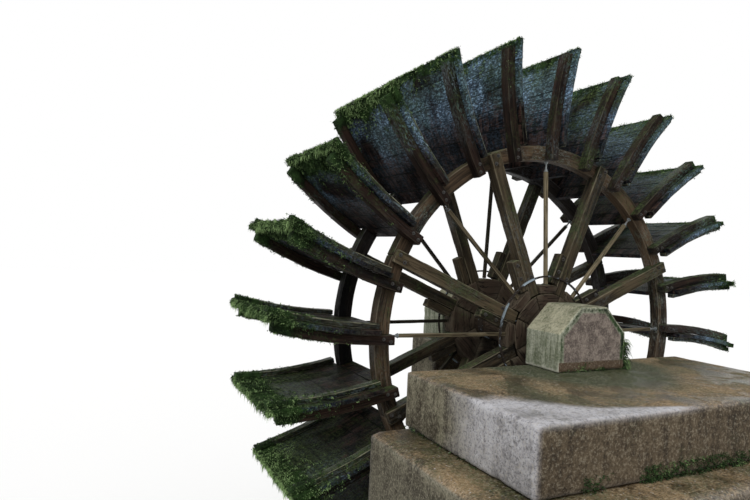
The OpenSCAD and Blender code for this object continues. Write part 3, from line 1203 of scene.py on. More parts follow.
@dataclass(frozen=True)
class PierFinish(ConcreteFinish):
    """Wet cast concrete: brown tops, mottled walls, rubbed pale patches, algae and moss."""

    name: str
    wall_dark: Colour
    wall_light: Colour
    top_dark: Colour
    top_light: Colour
    front_dark: Colour
    front_light: Colour
    damp: Colour
    pale: Colour
    wash: Colour
    algae: float = 0.34
    splash_top: float = 1.99
    splash_full: float = 1.80

    def dress(self, surface: Surface) -> None:
        """Lays the walls, the top, the rubbed patches and the grains over each other.

        Args:
            surface: The material's tree.
        """
        cast = self.cast(surface)
        stain = cast["Stain"]
        film = surface.algae(self.algae)
        mottle = surface.noise(surface.place, 26.0, 8.0, 0.78, 0.3)
        top_part = surface.spread(surface.up, 0.3, 0.8)
        wall_mix = surface.weigh((cast["Streak"], 0.30), (mottle, 0.45), (stain, 0.35))
        height = surface.node("ShaderNodeSeparateXYZ", {"Vector": surface.place}).outputs["Z"]
        front = surface.paint(self.front_dark, (surface.spread(wall_mix, 0.42, 0.62), self.front_light))
        wall = surface.paint(
            self.wall_dark,
            (surface.spread(wall_mix, 0.47, 0.63), self.wall_light),
            (surface.spread(height, self.splash_top, self.splash_full, 0.0, 0.45), colour(34, 30, 25)),
            (surface.product(surface.value("reach"), 0.8), front),
        )
        stray = surface.stray(surface.edge, (mottle, 2.2), (stain, 1.4))
        rubbed = surface.product(surface.spread(stray, 0.70, 1.3), 0.6)
        washed = surface.product(surface.edge, surface.spread(wall_mix, 0.42, 0.60, 0.45, 0.95))
        fleck = surface.spread(surface.noise(surface.place, 52.0, 3.0, 0.7), 0.64, 0.70)
        base = surface.paint(
            wall,
            (top_part, self._top(surface, stain, mottle)),
            (surface.product(film["Mask"], 0.7), film["Colour"]),
            (washed, self.wash),
            (rubbed, self.pale),
            (surface.product(fleck, top_part, 0.8), self.pale),
            *self.grit(surface, (0.64, 0.30, colour(176, 168, 148)), (0.36, 0.50, colour(30, 26, 18))),
        )
        dry = surface.math("SUBTRACT", 1.0, rubbed)
        wet = surface.product(top_part, surface.spread(stain, 0.60, 0.42), dry)
        rough = surface.spread(wet, 0.0, 1.0, 0.9, 0.3)
        self.close(surface, base, cast, colour(34, 29, 21), mottle, 0.006, 0.3, rough)

    def _top(self, surface: Surface, stain: Socket, mottle: Socket) -> Socket:
        """Colour of the top: brown and rippled, and darker where it is damp.

        Args:
            surface: The material's tree.
            stain: Broad stains of the concrete.
            mottle: Its finer patches.

        Returns:
            The colour.
        """
        ripple = surface.noise(surface.place, (60.0, 120.0, 60.0), 3.0, 0.6)
        mixed = surface.weigh((stain, 0.4), (mottle, 0.3), (ripple, 0.3))
        damp = surface.weigh((surface.value("tone"), 1.0), (stain, 0.8))
        return surface.paint(
            self.top_dark,
            (surface.spread(mixed, 0.43, 0.57), self.top_light),
            (surface.spread(damp, 0.72, 1.0), self.damp),
        )


@dataclass(frozen=True)
class BlockFinish(ConcreteFinish):
    """The bearing block's concrete: green streaked sides, a rubbed brown face and a damp foot."""

    name: str
    wall_dark: Colour
    wall_light: Colour
    slope: Colour
    face: Colour
    face_light: Colour
    foot: Colour
    pale: Colour
    algae: float = 0.42

    def dress(self, surface: Surface) -> None:
        """Lays the slopes, the face, the foot and the pale rims over each other; the rim along the face's
        left edge is a painted highlight.

        Args:
            surface: The material's tree.
        """
        cast = self.cast(surface)
        film = surface.algae(self.algae)
        mottle = surface.noise(surface.place, 16.0, 8.0, 0.72, 0.2)
        fine = surface.noise(surface.place, (44.0, 44.0, 4.0), 4.0, 0.6, 0.3)
        mixed = surface.weigh((cast["Streak"], 0.25), (mottle, 0.35), (fine, 0.4))
        face = surface.paint(self.face, (surface.spread(mottle, 0.40, 0.60), self.face_light))
        shown = surface.spread(surface.stray(surface.value("tone"), (mottle, 1.1)), 0.30, 0.60)
        damp = surface.spread(surface.stray(surface.value("reach"), (mottle, 0.8)), 0.40, 0.62)
        # The pale coat: the pale base, and the painted highlight along the face's left rim.
        rubbed = surface.spread(surface.stray(surface.edge, (mottle, 0.9)), 0.40, 0.66)
        base = surface.paint(
            self.wall_dark,
            (surface.spread(mixed, 0.40, 0.62), self.wall_light),
            (surface.product(surface.spread(surface.up, 0.25, 0.6), 0.8), self.slope),
            (film["Mask"], film["Colour"]),
            (shown, face),
            (damp, self.foot),
            (surface.product(rubbed, 0.7), self.pale),
            *self.grit(surface, (0.66, 0.26, colour(190, 184, 164)), (0.34, 0.40, colour(44, 38, 30))),
        )
        rough = surface.spread(damp, 0.0, 1.0, 0.88, 0.45)
        self.close(surface, base, cast, colour(40, 34, 24), mottle, 0.005, 0.25, rough)


@dataclass(frozen=True)
class FloorFinish(Finish):
    """Plain pale floor that looks white and still shows the shadow."""

    name: str = "pale_floor"
    shown: Colour = (0.96, 0.96, 0.955)
    bounced: Colour = (0.50, 0.50, 0.49)

    def dress(self, surface: Surface) -> None:
        """Shows the pale colour, and bounces less light than that would."""
        tint = surface.paint(self.bounced, (surface.seen(), self.shown))
        surface.shade(0.0, Base_Color=tint, Roughness=1.0)


def finished(finish: Finish) -> Material:
    """A palette's field, whose material is built when the palette is."""
    return field(default_factory=finish.material)


@dataclass(frozen=True)
class Palette:
    """All finishes of the wheel and its piers."""

    # The fourth colour of each timber finish is the colour of the reflection painted where its film of water
    # lies.
    planks: Material = finished(TimberFinish(
        "wet_planks", colour(6, 6, 7), colour(46, 37, 34), colour(84, 84, 72), colour(158, 192, 224),
        algae=0.24, outer_algae=0.30, water=0.60, low_water=0.08, drips=0.9, wear=0.3, gloss=0.4,
        shine=0.02, haze=0.19,
    ))
    ribs: Material = finished(TimberFinish(
        "dark_ribs", colour(8, 7, 7), colour(56, 42, 35), colour(92, 88, 74), colour(96, 110, 114),
        algae=0.34, outer_algae=0.1, water=0.42, wear=0.34, gloss=0.4, shine=0.08,
    ))
    # Strong pale worn edges on the battens: partly wear, partly painted highlight.
    battens: Material = finished(TimberFinish(
        "green_battens", colour(10, 10, 9), colour(56, 54, 44), colour(140, 138, 116),
        colour(150, 172, 178),
        algae=0.40, outer_algae=0.2, water=0.58, low_water=0.6, wear=0.9, gloss=0.36, shine=0.1,
    ))
    ring: Material = finished(TimberFinish(
        "brown_ring", colour(16, 13, 10), colour(98, 80, 62), colour(124, 116, 100),
        colour(132, 136, 128), algae=0.34, water=0.46, low_water=0.75, wear=0.36, gloss=0.42,
    ))
    # Darker copy of the ring's finish for the far ring: painted shade.
    far_ring: Material = finished(TimberFinish(
        "dark_ring", colour(8, 8, 9), colour(48, 42, 38), colour(92, 92, 90), colour(96, 100, 108),
        algae=0.22, water=0.42, low_water=0.5, wear=0.7, gloss=0.42,
    ))
    arms: Material = finished(TimberFinish(
        "olive_arms", colour(14, 12, 9), colour(84, 73, 56), colour(130, 122, 102),
        colour(112, 120, 120), algae=0.38, water=0.38, low_water=0.5, wear=0.45, gloss=0.44,
    ))
    struts: Material = finished(TimberFinish(
        "tan_struts", colour(62, 54, 40), colour(124, 113, 90), colour(146, 136, 114),
        colour(100, 98, 86), algae=0.22, water=0.2, wear=0.4, relief=0.0015, gloss=0.6,
    ))
    # Darker copy of the struts' finish for the far struts: painted shade.
    dark_struts: Material = finished(TimberFinish(
        "dark_struts", colour(16, 14, 12), colour(56, 50, 40), colour(84, 78, 64), colour(56, 58, 54),
        algae=0.30, water=0.3, wear=0.4, relief=0.0015, gloss=0.5,
    ))
    # The hub's colour follows its tone strongly; on its plates that tone carries painted shade.
    hub: Material = finished(TimberFinish(
        "red_hub", colour(4, 3, 3), colour(66, 55, 46), colour(98, 90, 76), colour(120, 112, 100),
        algae=0.24, water=0.30, low_water=0.6, wear=0.4, cracks=1.0, gloss=0.42, shine=0.08,
        tone_pull=0.42,
    ))
    iron: Material = finished(IronFinish(
        "rusted_iron", colour(74, 74, 72), colour(56, 40, 31), rust_amount=0.72, metal=0.3
    ))
    steel: Material = finished(IronFinish(
        "bright_steel", colour(140, 146, 148), colour(84, 62, 46), rust_amount=0.50, metal=0.7
    ))
    hoops: Material = finished(IronFinish(
        "dark_hoops", colour(150, 164, 174), colour(46, 38, 31), rust_amount=0.86, metal=0.5,
        bare_pull=0.42,
    ))
    moss: Material = finished(MossFinish(
        "moss_blades", colour(3, 7, 3), colour(60, 84, 46), colour(158, 188, 124)
    ))
    pier: Material = finished(PierFinish(
        "pier_concrete", wall_dark=colour(60, 54, 42), wall_light=colour(124, 119, 100),
        top_dark=colour(52, 42, 28), top_light=colour(146, 124, 92), front_dark=colour(32, 25, 18),
        front_light=colour(86, 70, 52), damp=colour(60, 64, 44), pale=colour(196, 196, 200),
        wash=colour(176, 175, 180), algae=0.26,
    ))
    block: Material = finished(BlockFinish(
        "block_concrete", wall_dark=colour(98, 105, 84), wall_light=colour(164, 167, 150),
        slope=colour(162, 158, 134), face=colour(94, 84, 79), face_light=colour(138, 126, 117),
        foot=colour(84, 68, 53), pale=colour(184, 184, 170), algae=0.34,
    ))


@dataclass(frozen=True)
class MossMap:
    """Where moss grows on the paddles, and how thickly."""

    by_paddle: tuple[float, ...] = (
        1.0, 1.0, 0.95, 0.72, 0.40, 0.34, 0.30, 0.28, 0.30, 0.34, 0.40, 0.62, 0.55, 0.5, 0.5, 0.5,
        0.5, 0.55, 0.6, 0.65, 0.7, 0.8, 0.9, 1.0,
    )
    patch_cells: float = 5.0
    ragged: float = 0.10
    bare_tip: float = 0.08
    full_tip: float = 0.02
    grown: float = 0.26

    def amount(self, number: int) -> float:
        """Thickness of the growth on a paddle, from 0 to 1."""
        return self.by_paddle[number - 1]

    def cover(self, number: int, points: Array) -> Array:
        """Moss cover of a paddle, which grows towards the tip in patches.

        Args:
            number: Number of the paddle.
            points: Array of n points.

        Returns:
            n values from 0 to 1.
        """
        amount = self.amount(number)
        ragged = layered_noise(points * self.patch_cells, 90 + number) * self.ragged
        start = WHEEL.tip_r - self.bare_tip - self.grown * amount
        cover = ease(WHEEL.radius_of(points) + ragged, start, WHEEL.tip_r - self.full_tip)
        return np.clip(cover * (0.35 + 0.65 * amount), 0, 1)


MOSS = MossMap()


@dataclass
class Blades:
    """Grows moss in tufts of thin leaves, each widest at its bend and pointed at both ends."""

    per_tuft: int = 7
    width: float = 0.0056
    scatter: float = 0.007
    sunk: float = 0.002
    sag: float = 0.45
    sag_length: float = 0.03
    knee: float = 0.45

    def grow(
        self, stock: Stock, centres: Array, outward: Array, lengths: Array,
        spread: float = 0.5, pull: float = 0.4, lift: float = 0.0,
    ) -> None:
        """Adds one tuft at each centre.

        Args:
            stock: The mesh that gets the blades.
            centres: Points where the tufts sit.
            outward: Direction away from the surface at each centre, or one for all.
            lengths: Length of each tuft's blades.
            spread: How far the blades stray from their direction.
            pull: How strongly their weight bends them down.
            lift: How much paler they are than the others.
        """
        rng = stock.rng
        count = len(centres) * self.per_tuft
        out = np.repeat(unit(np.broadcast_to(outward, centres.shape)), self.per_tuft, axis=0)
        jitter = rng.normal(0, self.scatter, (count, 3))
        jitter -= out * (np.sum(jitter * out, axis=1) + self.sunk)[:, None]
        roots = np.repeat(centres, self.per_tuft, axis=0) + jitter
        length = (np.repeat(lengths, self.per_tuft) * rng.uniform(0.6, 1.2, count))[:, None]
        down = np.array([0, 0, -1.0])
        heading = unit(out + rng.normal(0, spread, (count, 3)) + down * pull)
        drooped = unit(heading + down * (self.sag * length / self.sag_length))
        side = unit(np.cross(heading, rng.normal(0, 1, (count, 3))))
        half = side * (self.width / 2 * rng.uniform(0.6, 1.3, count))[:, None]
        knee = roots + heading * (length * self.knee)
        tip = knee + drooped * (length * (1 - self.knee))
        points = np.stack([roots, knee + half, knee - half, tip], axis=1).reshape(-1, 3)
        first = np.arange(count)[:, None] * 4
        leaves = np.concatenate([first + np.array([[0, 1, 2]]), first + np.array([[2, 1, 3]])])
        tone = np.repeat(rng.uniform(0, 1, len(centres)), self.per_tuft) * 0.75
        tone = tone + rng.uniform(0, 0.25, count) + lift
        stock.add(points, leaves, tone=np.repeat(tone, 4), edge=np.tile([0.0, 0.5, 0.5, 1.0], count))


@dataclass
class Paddle:
    """One curved paddle: planks outside the rings, a plank between the rings, and its moss."""

    number: int
    palette: Palette
    board_t: float = 0.038
    board_half: float = 0.509
    plank_gap: float = 0.0005
    ragged: float = 0.006
    tongue: float = 0.009
    length_cells: int = 21

    def __post_init__(self) -> None:
        """Sets out the paddle: its angle, its growth, the plank corners on its two faces, and its mesh."""
        self.planks = Stock(f"planks_{self.number:02d}", seed=100 + self.number)
        self.angle = WHEEL.paddle_angle(self.number)
        self.amount = MOSS.amount(self.number)
        self.near, self.low = (CURVE.joints(off) for off in (HAIRLINE, HAIRLINE + self.board_t))

    def _strip(
        self, corners: list[Array], start: float, end: float, stations: int, **look: object
    ) -> None:
        """Adds a strip that runs along the axle.

        Args:
            corners: Three corners of its section: the first, the one across and the one through.
            start: Where it starts along the axle.
            end: Where it ends.
            stations: How many stations it has.
            **look: How loft makes its surface.
        """
        axial = np.linspace(start, end, stations)
        first, second, third = (WHEEL.place(self.angle, out, across, axial) for out, across in corners)
        self.planks.loft(first, second - first, third - first, **look)

    def _plank(self, near: Array, low: Array, half: float) -> None:
        """Adds one plank.

        Args:
            near: Its two corners on the ribs' side.
            low: Its first corner on the other side.
            half: Half its length.
        """
        gap = unit(near[1] - near[0]) * self.plank_gap / 2
        start = -half + self.planks.rng.uniform(0, self.ragged)
        end = half - self.planks.rng.uniform(0, self.ragged)
        self._strip(
            [near[0] + gap, near[1] - gap, low + gap], start, end, self.length_cells,
            bevel=0.001, cells=(5, 1), relief=0.0035, wear=0.002, knots=34.0,
            cover=partial(MOSS.cover, self.number),
        )

    def build(self) -> None:
        """Builds the planks, with a tongue in each joint that keeps the light out."""
        for plank in range(CURVE.planks):
            self._plank(self.near[plank:plank + 2], self.low[plank], self.board_half)
        end = self.board_half - 0.02
        for joint in range(1, CURVE.planks):
            step = unit(self.near[joint] - self.near[joint - 1]) * self.tongue
            through = (self.low[joint] - self.near[joint]) * 0.36
            start = self.near[joint] + through * 0.9 - step
            corners = [start, start + step * 2, start + through]
            self._strip(corners, -end, end, 2, bevel=0.001, cells=(1, 1), wear=0.0)
        self._plank(CURVE.foot(HAIRLINE), CURVE.foot(HAIRLINE + self.board_t)[0], WHEEL.ring_in)
        self.planks.piece(self.palette.planks, Body.WHEEL, "board_timber", f"paddle_board_{self.number:02d}")

    def _spots(self, face: Array, back: Array, axial: Numbers) -> Array:
        """Points on a face of the paddle.

        Args:
            face: The face's corners.
            back: Distances back from the tip.
            axial: Distances along the axle.

        Returns:
            Array of n points.
        """
        total = lengthwise(face)
        at = total[-1] - back
        flat = [np.interp(at, total, face[:, 0]), np.interp(at, total, face[:, 1])]
        return WHEEL.place(self.angle, *flat, axial)

    def _in_patches(self, rng: np.random.Generator, count: int) -> Array:
        """Places along the tip, thicker in some patches than in others.

        Args:
            rng: Where the draws come from.
            count: How many places.

        Returns:
            Distances along the axle.
        """
        half = self.board_half - 0.004
        tried = rng.uniform(-half, half, count * 3)
        probe = np.stack([tried * 7, np.full(len(tried), self.number * 3.1), np.zeros(len(tried))], axis=1)
        return np.resize(tried[rng.uniform(0, 1, len(tried)) < pitting(probe, 7)], count)

    def grow_moss(self) -> None:
        """Grows the tufts along the tip, on both faces near it, and on the planks' ends."""
        stock = Stock(f"moss_{self.number:02d}", seed=300 + self.number)
        rng = stock.rng
        amount = self.amount
        ahead = unit(self.near[-1] - self.near[-2])
        # Blades on thin growth are made paler: painted light for tips that lie in shade.
        lift = 0.0 if amount > 0.9 else 0.35
        count = int(90 + 210 * amount)
        axial = self._in_patches(rng, count)
        tip = self.near[-1] + (self.low[-1] - self.near[-1]) * rng.uniform(0, 1, count)[:, None]
        lengths = rng.uniform(0.014, 0.030, count) * (0.45 + 0.75 * amount)
        outward = WHEEL.way(self.angle, *ahead)
        Blades().grow(stock, WHEEL.set_out(self.angle, tip, axial), outward, lengths, lift=lift)
        for face, sign in ((self.near, 1.0), (self.low, -1.0)):
            count = int(24 + 380 * amount**1.4)
            back = np.abs(rng.normal(0, 0.05 + 0.11 * amount, count))
            centres = self._spots(face, back, self._in_patches(rng, count))
            fade = np.clip(1.25 - back * 2.4, 0.3, 1)
            lengths = rng.uniform(0.010, 0.024, count) * (0.45 + 0.6 * amount) * fade
            outward = WHEEL.way(self.angle, -ahead[1] * sign, ahead[0] * sign)
            Blades().grow(stock, centres, outward, lengths, spread=0.6, lift=lift)
        for sign in (-1, 1):
            count = int(90 * amount**1.4)
            back = np.abs(rng.normal(0, 0.22, count))
            through = rng.uniform(0, 1, count)[:, None]
            near, low = (self._spots(face, back, 0.0) for face in (self.near, self.low))
            ends = near * (1 - through) + low * through
            ends[:, 1] = WHEEL.axle.y + sign * (self.board_half - 0.004)
            Blades().grow(stock, ends, np.array([0, sign, 0.0]), rng.uniform(0.008, 0.018, count) * amount)
        self._hang_strands(stock)
        stock.piece(self.palette.moss, Body.WHEEL, "board_timber", smooth=False)

    def _hang_strands(self, stock: Stock) -> None:
        """Hangs longer strands from the tip where the growth is thick.

        Args:
            stock: The mesh that gets them.
        """
        rng = stock.rng
        count = int(150 * max(self.amount - 0.6, 0) / 0.4)
        if count:
            centres = self._spots(self.low, rng.uniform(0, 0.03, count), self._in_patches(rng, count))
            lengths = rng.uniform(0.03, 0.085, count)
            outward = WHEEL.way(self.angle, 1.0, 0.0)
            strands = Blades(per_tuft=6, sag=2.0)
            strands.grow(stock, centres, outward, lengths, spread=0.25, pull=1.2, lift=0.45)


@dataclass
class PaddleFrames:
    """Ribs and battens of all paddles on one side of the wheel."""

    side: Side
    palette: Palette
    rib_depth: float = 0.072
    rib_t: float = 0.085
    rib_short: float = 0.045
    batten_off: float = 0.0386
    batten_h: float = 0.040
    batten_t: float = 0.072
    cells_per_plank: int = 4

    def _stations(self, corners: Array) -> Array:
        """Points spaced along the straight stretches between corners.

        Args:
            corners: The corners as rows of x and y.

        Returns:
            The points, from the first corner to the last.
        """
        steps = np.linspace(0, 1, self.cells_per_plank, endpoint=False)[:, None]
        parts = [start + (end - start) * steps for start, end in zip(corners[:-1], corners[1:])]
        return np.concatenate([*parts, corners[-1:]])

    def _rib_side(self, off: float) -> Array:
        """Corners of one side of a rib, from the ring's inner edge to its end short of the tip.

        Args:
            off: Distance of that side from the curve.

        Returns:
            The corners as rows of x and y.
        """
        corners = np.concatenate([CURVE.foot(off)[:1], CURVE.joints(off)])
        corners[-1] -= unit(corners[-1] - corners[-2]) * self.rib_short
        return corners

    def build(self) -> None:
        """Builds the ribs and the battens, and grows moss on their outer thirds."""
        sign = self.side.value
        word = self.side.word
        ribs = Stock(f"ribs_{word}", seed=40 + sign)
        battens = Stock(f"battens_{word}", seed=50 + sign)
        moss = Stock(f"bar_moss_{word}", seed=55 + sign)
        face = WHEEL.ring_out + self.rib_t
        middle = WHEEL.ring_out + self.rib_t / 2
        rib = [self._rib_side(0.0), self._rib_side(-self.rib_depth), sign * WHEEL.ring_out, sign * face]
        batten = [
            CURVE.joints(self.batten_off), CURVE.joints(self.batten_off + self.batten_h),
            sign * (middle - self.batten_t / 2), sign * (middle + self.batten_t / 2),
        ]
        for number in range(1, WHEEL.paddles + 1):
            for stock, (inner, outer, y0, y1), wear in ((ribs, rib, 0.008), (battens, batten, 0.012)):
                stock.bar(
                    WHEEL.paddle_angle(number), self._stations(inner), self._stations(outer), y0, y1,
                    bevel=0.004, cells=(2, 2), relief=0.003, wear=wear, knots=40.0,
                    cover=partial(MOSS.cover, number),
                )
            for inner, outer, y0, y1 in (rib, batten):
                self._grow(moss, number, inner, outer, y0, y1)
        ribs.piece(self.palette.ribs, Body.WHEEL, "rib_timber", f"ribs_{word}")
        battens.piece(self.palette.battens, Body.WHEEL, "batten_timber", f"battens_{word}")
        moss.piece(self.palette.moss, Body.WHEEL, "rib_timber", smooth=False)

    def _grow(
        self, stock: Stock, number: int, inner: Array, outer: Array, y0: float, y1: float
    ) -> None:
        """Grows tufts on a bar's outer edge and on its end face, thinning out towards the rim.

        Args:
            stock: The mesh that gets them.
            number: Number of the paddle.
            inner: Corners of the bar's inner side.
            outer: Corners of its outer side.
            y0: Where the bar starts along the axle.
            y1: Where it ends.
        """
        amount = MOSS.amount(number)
        rng = stock.rng
        angle = WHEEL.paddle_angle(number)
        count = int(105 * amount**1.3)
        steps = lengthwise(outer)
        back = np.abs(rng.normal(0, 0.08 + 0.13 * amount, count))
        at = steps[-1] - np.minimum(back, steps[-1] * 0.9)
        low, high = (
            np.stack([np.interp(at, steps, line[:, 0]), np.interp(at, steps, line[:, 1])], axis=1)
            for line in (inner, outer)
        )
        on_end = rng.uniform(0, 1, count) < 0.5
        part = np.where(on_end, rng.uniform(0, 1, count), 0.94)[:, None]
        along = rng.uniform(min(y0, y1), max(y0, y1), count)
        axial = np.where(on_end, y1 - self.side.value * 0.003, along)
        centres = WHEEL.set_out(angle, low + (high - low) * part, axial)
        flat = WHEEL.way(angle, *unit(high - low).T)
        outward = np.where(on_end[:, None], np.array([0, self.side.value, 0.0]), flat)
        lengths = rng.uniform(0.008, 0.020, count) * (0.4 + 0.7 * amount)
        Blades().grow(stock, centres, outward, lengths, spread=0.55)


@dataclass
class FelloeRing:
    """One ring of eight felloes."""

    side: Side
    palette: Palette
    felloes: int = 8
    joint: float = 0.002
    cells: int = 26

    def build(self) -> None:
        """Builds the felloes."""
        sign = self.side.value
        stock = Stock(f"ring_{self.side.word}", seed=60 + sign)
        half = math.pi / self.felloes - self.joint / 2 / WHEEL.ring_r
        for number in range(self.felloes):
            middle = number * 2 * math.pi / self.felloes
            arc = circle(np.linspace(middle - half, middle + half, self.cells))
            stock.bar(
                0.0, arc * WHEEL.ring_inner_r, arc * WHEEL.ring_r,
                sign * WHEEL.ring_in, sign * WHEEL.ring_out,
                bevel=0.005, cells=(4, 4), relief=0.0022, wear=0.006,
            )
        # The far ring takes the darker copy of the ring's finish: painted shade.
        finish = self.palette.ring if self.side is Side.NEAR else self.palette.far_ring
        stock.piece(finish, Body.WHEEL, "ring_timber", f"ring_{self.side.word}")


@dataclass
class ArmSet:
    """Arms, cleats and struts of one side of the wheel."""

    side: Side
    palette: Palette
    arm_w: float = 0.100
    arm_front: float = 0.045
    arm_in: float = 0.055
    foot_r: float = 0.320
    shoulder_r: float = 1.380
    end_r: float = 1.494
    disc_r: float = 0.390
    cleat_w: float = 0.072
    cleat_t: float = 0.088
    cleat_len: float = 0.258
    strut_w: float = 0.028
    strut_end_r: float = 1.300
    strut_hub_out: float = 0.022
    strut_ring_in: float = 0.032

    def _bars(
        self, name: str, seed: int, shift: float, out: Array, across: tuple[float, float],
        back: Numbers, front: Numbers, **look: object,
    ) -> Stock:
        """Lays one bar along each of eight radii.

        Args:
            name: Name of the bars.
            seed: Where their random draws start.
            shift: Parts of a step that the first radius is turned.
            out: Stations of a bar out along its radius.
            across: Where it starts and ends across the radius.
            back: Distance of its inner face from the wheel's middle plane.
            front: Distance of its outer face.
            **look: How loft makes its surface.

        Returns:
            The mesh of the bars.
        """
        sign = self.side.value
        stock = Stock(f"{name}_{self.side.word}", seed=seed + sign)
        lines = [np.stack([out, np.full(len(out), place)], axis=1) for place in across]
        for number in range(WHEEL.arms):
            stock.bar((number + shift) * WHEEL.arm_step, *lines, sign * back, sign * front, **look)
        return stock

    def build(self) -> None:
        """Builds the arms, lapped over the ring, the cleats at the hub and the struts between them."""
        front = WHEEL.ring_out + self.arm_front
        half = self.arm_w / 2
        lap = np.linspace(self.shoulder_r + 0.0005, self.end_r, 6)
        out = np.concatenate([np.linspace(self.foot_r, self.shoulder_r, 40), lap])
        back = np.where(out <= self.shoulder_r, WHEEL.ring_out - self.arm_in, WHEEL.ring_out)
        arms = self._bars(
            "arms", 70, 0.5, out, (-half, half), back, front,
            bevel=0.006, cells=(4, 4), relief=0.003, wear=0.008,
        )
        start = half + HAIRLINE
        out = np.linspace(self.disc_r + HAIRLINE, self.disc_r + self.cleat_len, 12)
        cleats = self._bars(
            "cleats", 80, 0.5, out, (start, start + self.cleat_w), front - self.cleat_t, front,
            bevel=0.006, cells=(4, 4), relief=0.004, wear=0.012,
        )
        half = self.strut_w / 2
        out = np.linspace(self.disc_r + HAIRLINE, self.strut_end_r, 24)
        middle = np.linspace(WHEEL.ring_out + self.strut_hub_out, WHEEL.ring_out - self.strut_ring_in, 24)
        struts = self._bars(
            "struts", 90, 0.0, out, (-half, half), middle - half, middle + half,
            bevel=0.0025, cells=(2, 2), relief=0.001, wear=0.002, knots=60.0,
        )
        # The far struts take the darker copy of the struts' finish: painted shade.
        strut_finish = self.palette.struts if self.side is Side.NEAR else self.palette.dark_struts
        arms.piece(self.palette.arms, Body.WHEEL, "arm_timber", f"arms_{self.side.word}")
        cleats.piece(self.palette.arms, Body.WHEEL, "arm_timber", "arm_cleats")
        struts.piece(strut_finish, Body.WHEEL, "strut_timber", f"struts_{self.side.word}")


@dataclass
class Rods:
    """The steel rods between the struts and the rings, with a washer and a nut at both ends."""

    palette: Palette
    rod_r: float = 0.007
    washer_r: float = 0.018
    nut_r: float = 0.013

    def build(self) -> None:
        """Builds the rods of both sides."""
        stock = Stock("strut_rods", seed=95)
        strut = ArmSet.strut_end_r
        ring = WHEEL.ring_inner_r
        parts = (
            (strut - 0.006, ring + 0.001, self.rod_r, {"sides": 14, "relief": 0.0004, "pieces": 6}),
            (strut + HAIRLINE, strut + 0.005, self.washer_r, {"sides": 18}),
            (strut + 0.005, strut + 0.018, self.nut_r, {"sides": 6}),
            (ring - 0.006, ring - 0.0005, self.washer_r, {"sides": 18}),
            (ring - 0.018, ring - 0.006, self.nut_r, {"sides": 6}),
        )
        for side in Side:
            axial = side.value * (WHEEL.ring_out - ArmSet.strut_ring_in)
            for number in range(WHEEL.arms):
                for start, end, radius, look in parts:
                    ends = WHEEL.place(number * WHEEL.arm_step, np.array([start, end]), 0, axial)
                    stock.rod(*ends, radius, **look)
        stock.piece(self.palette.steel, Body.WHEEL, "iron", "strut_rods")


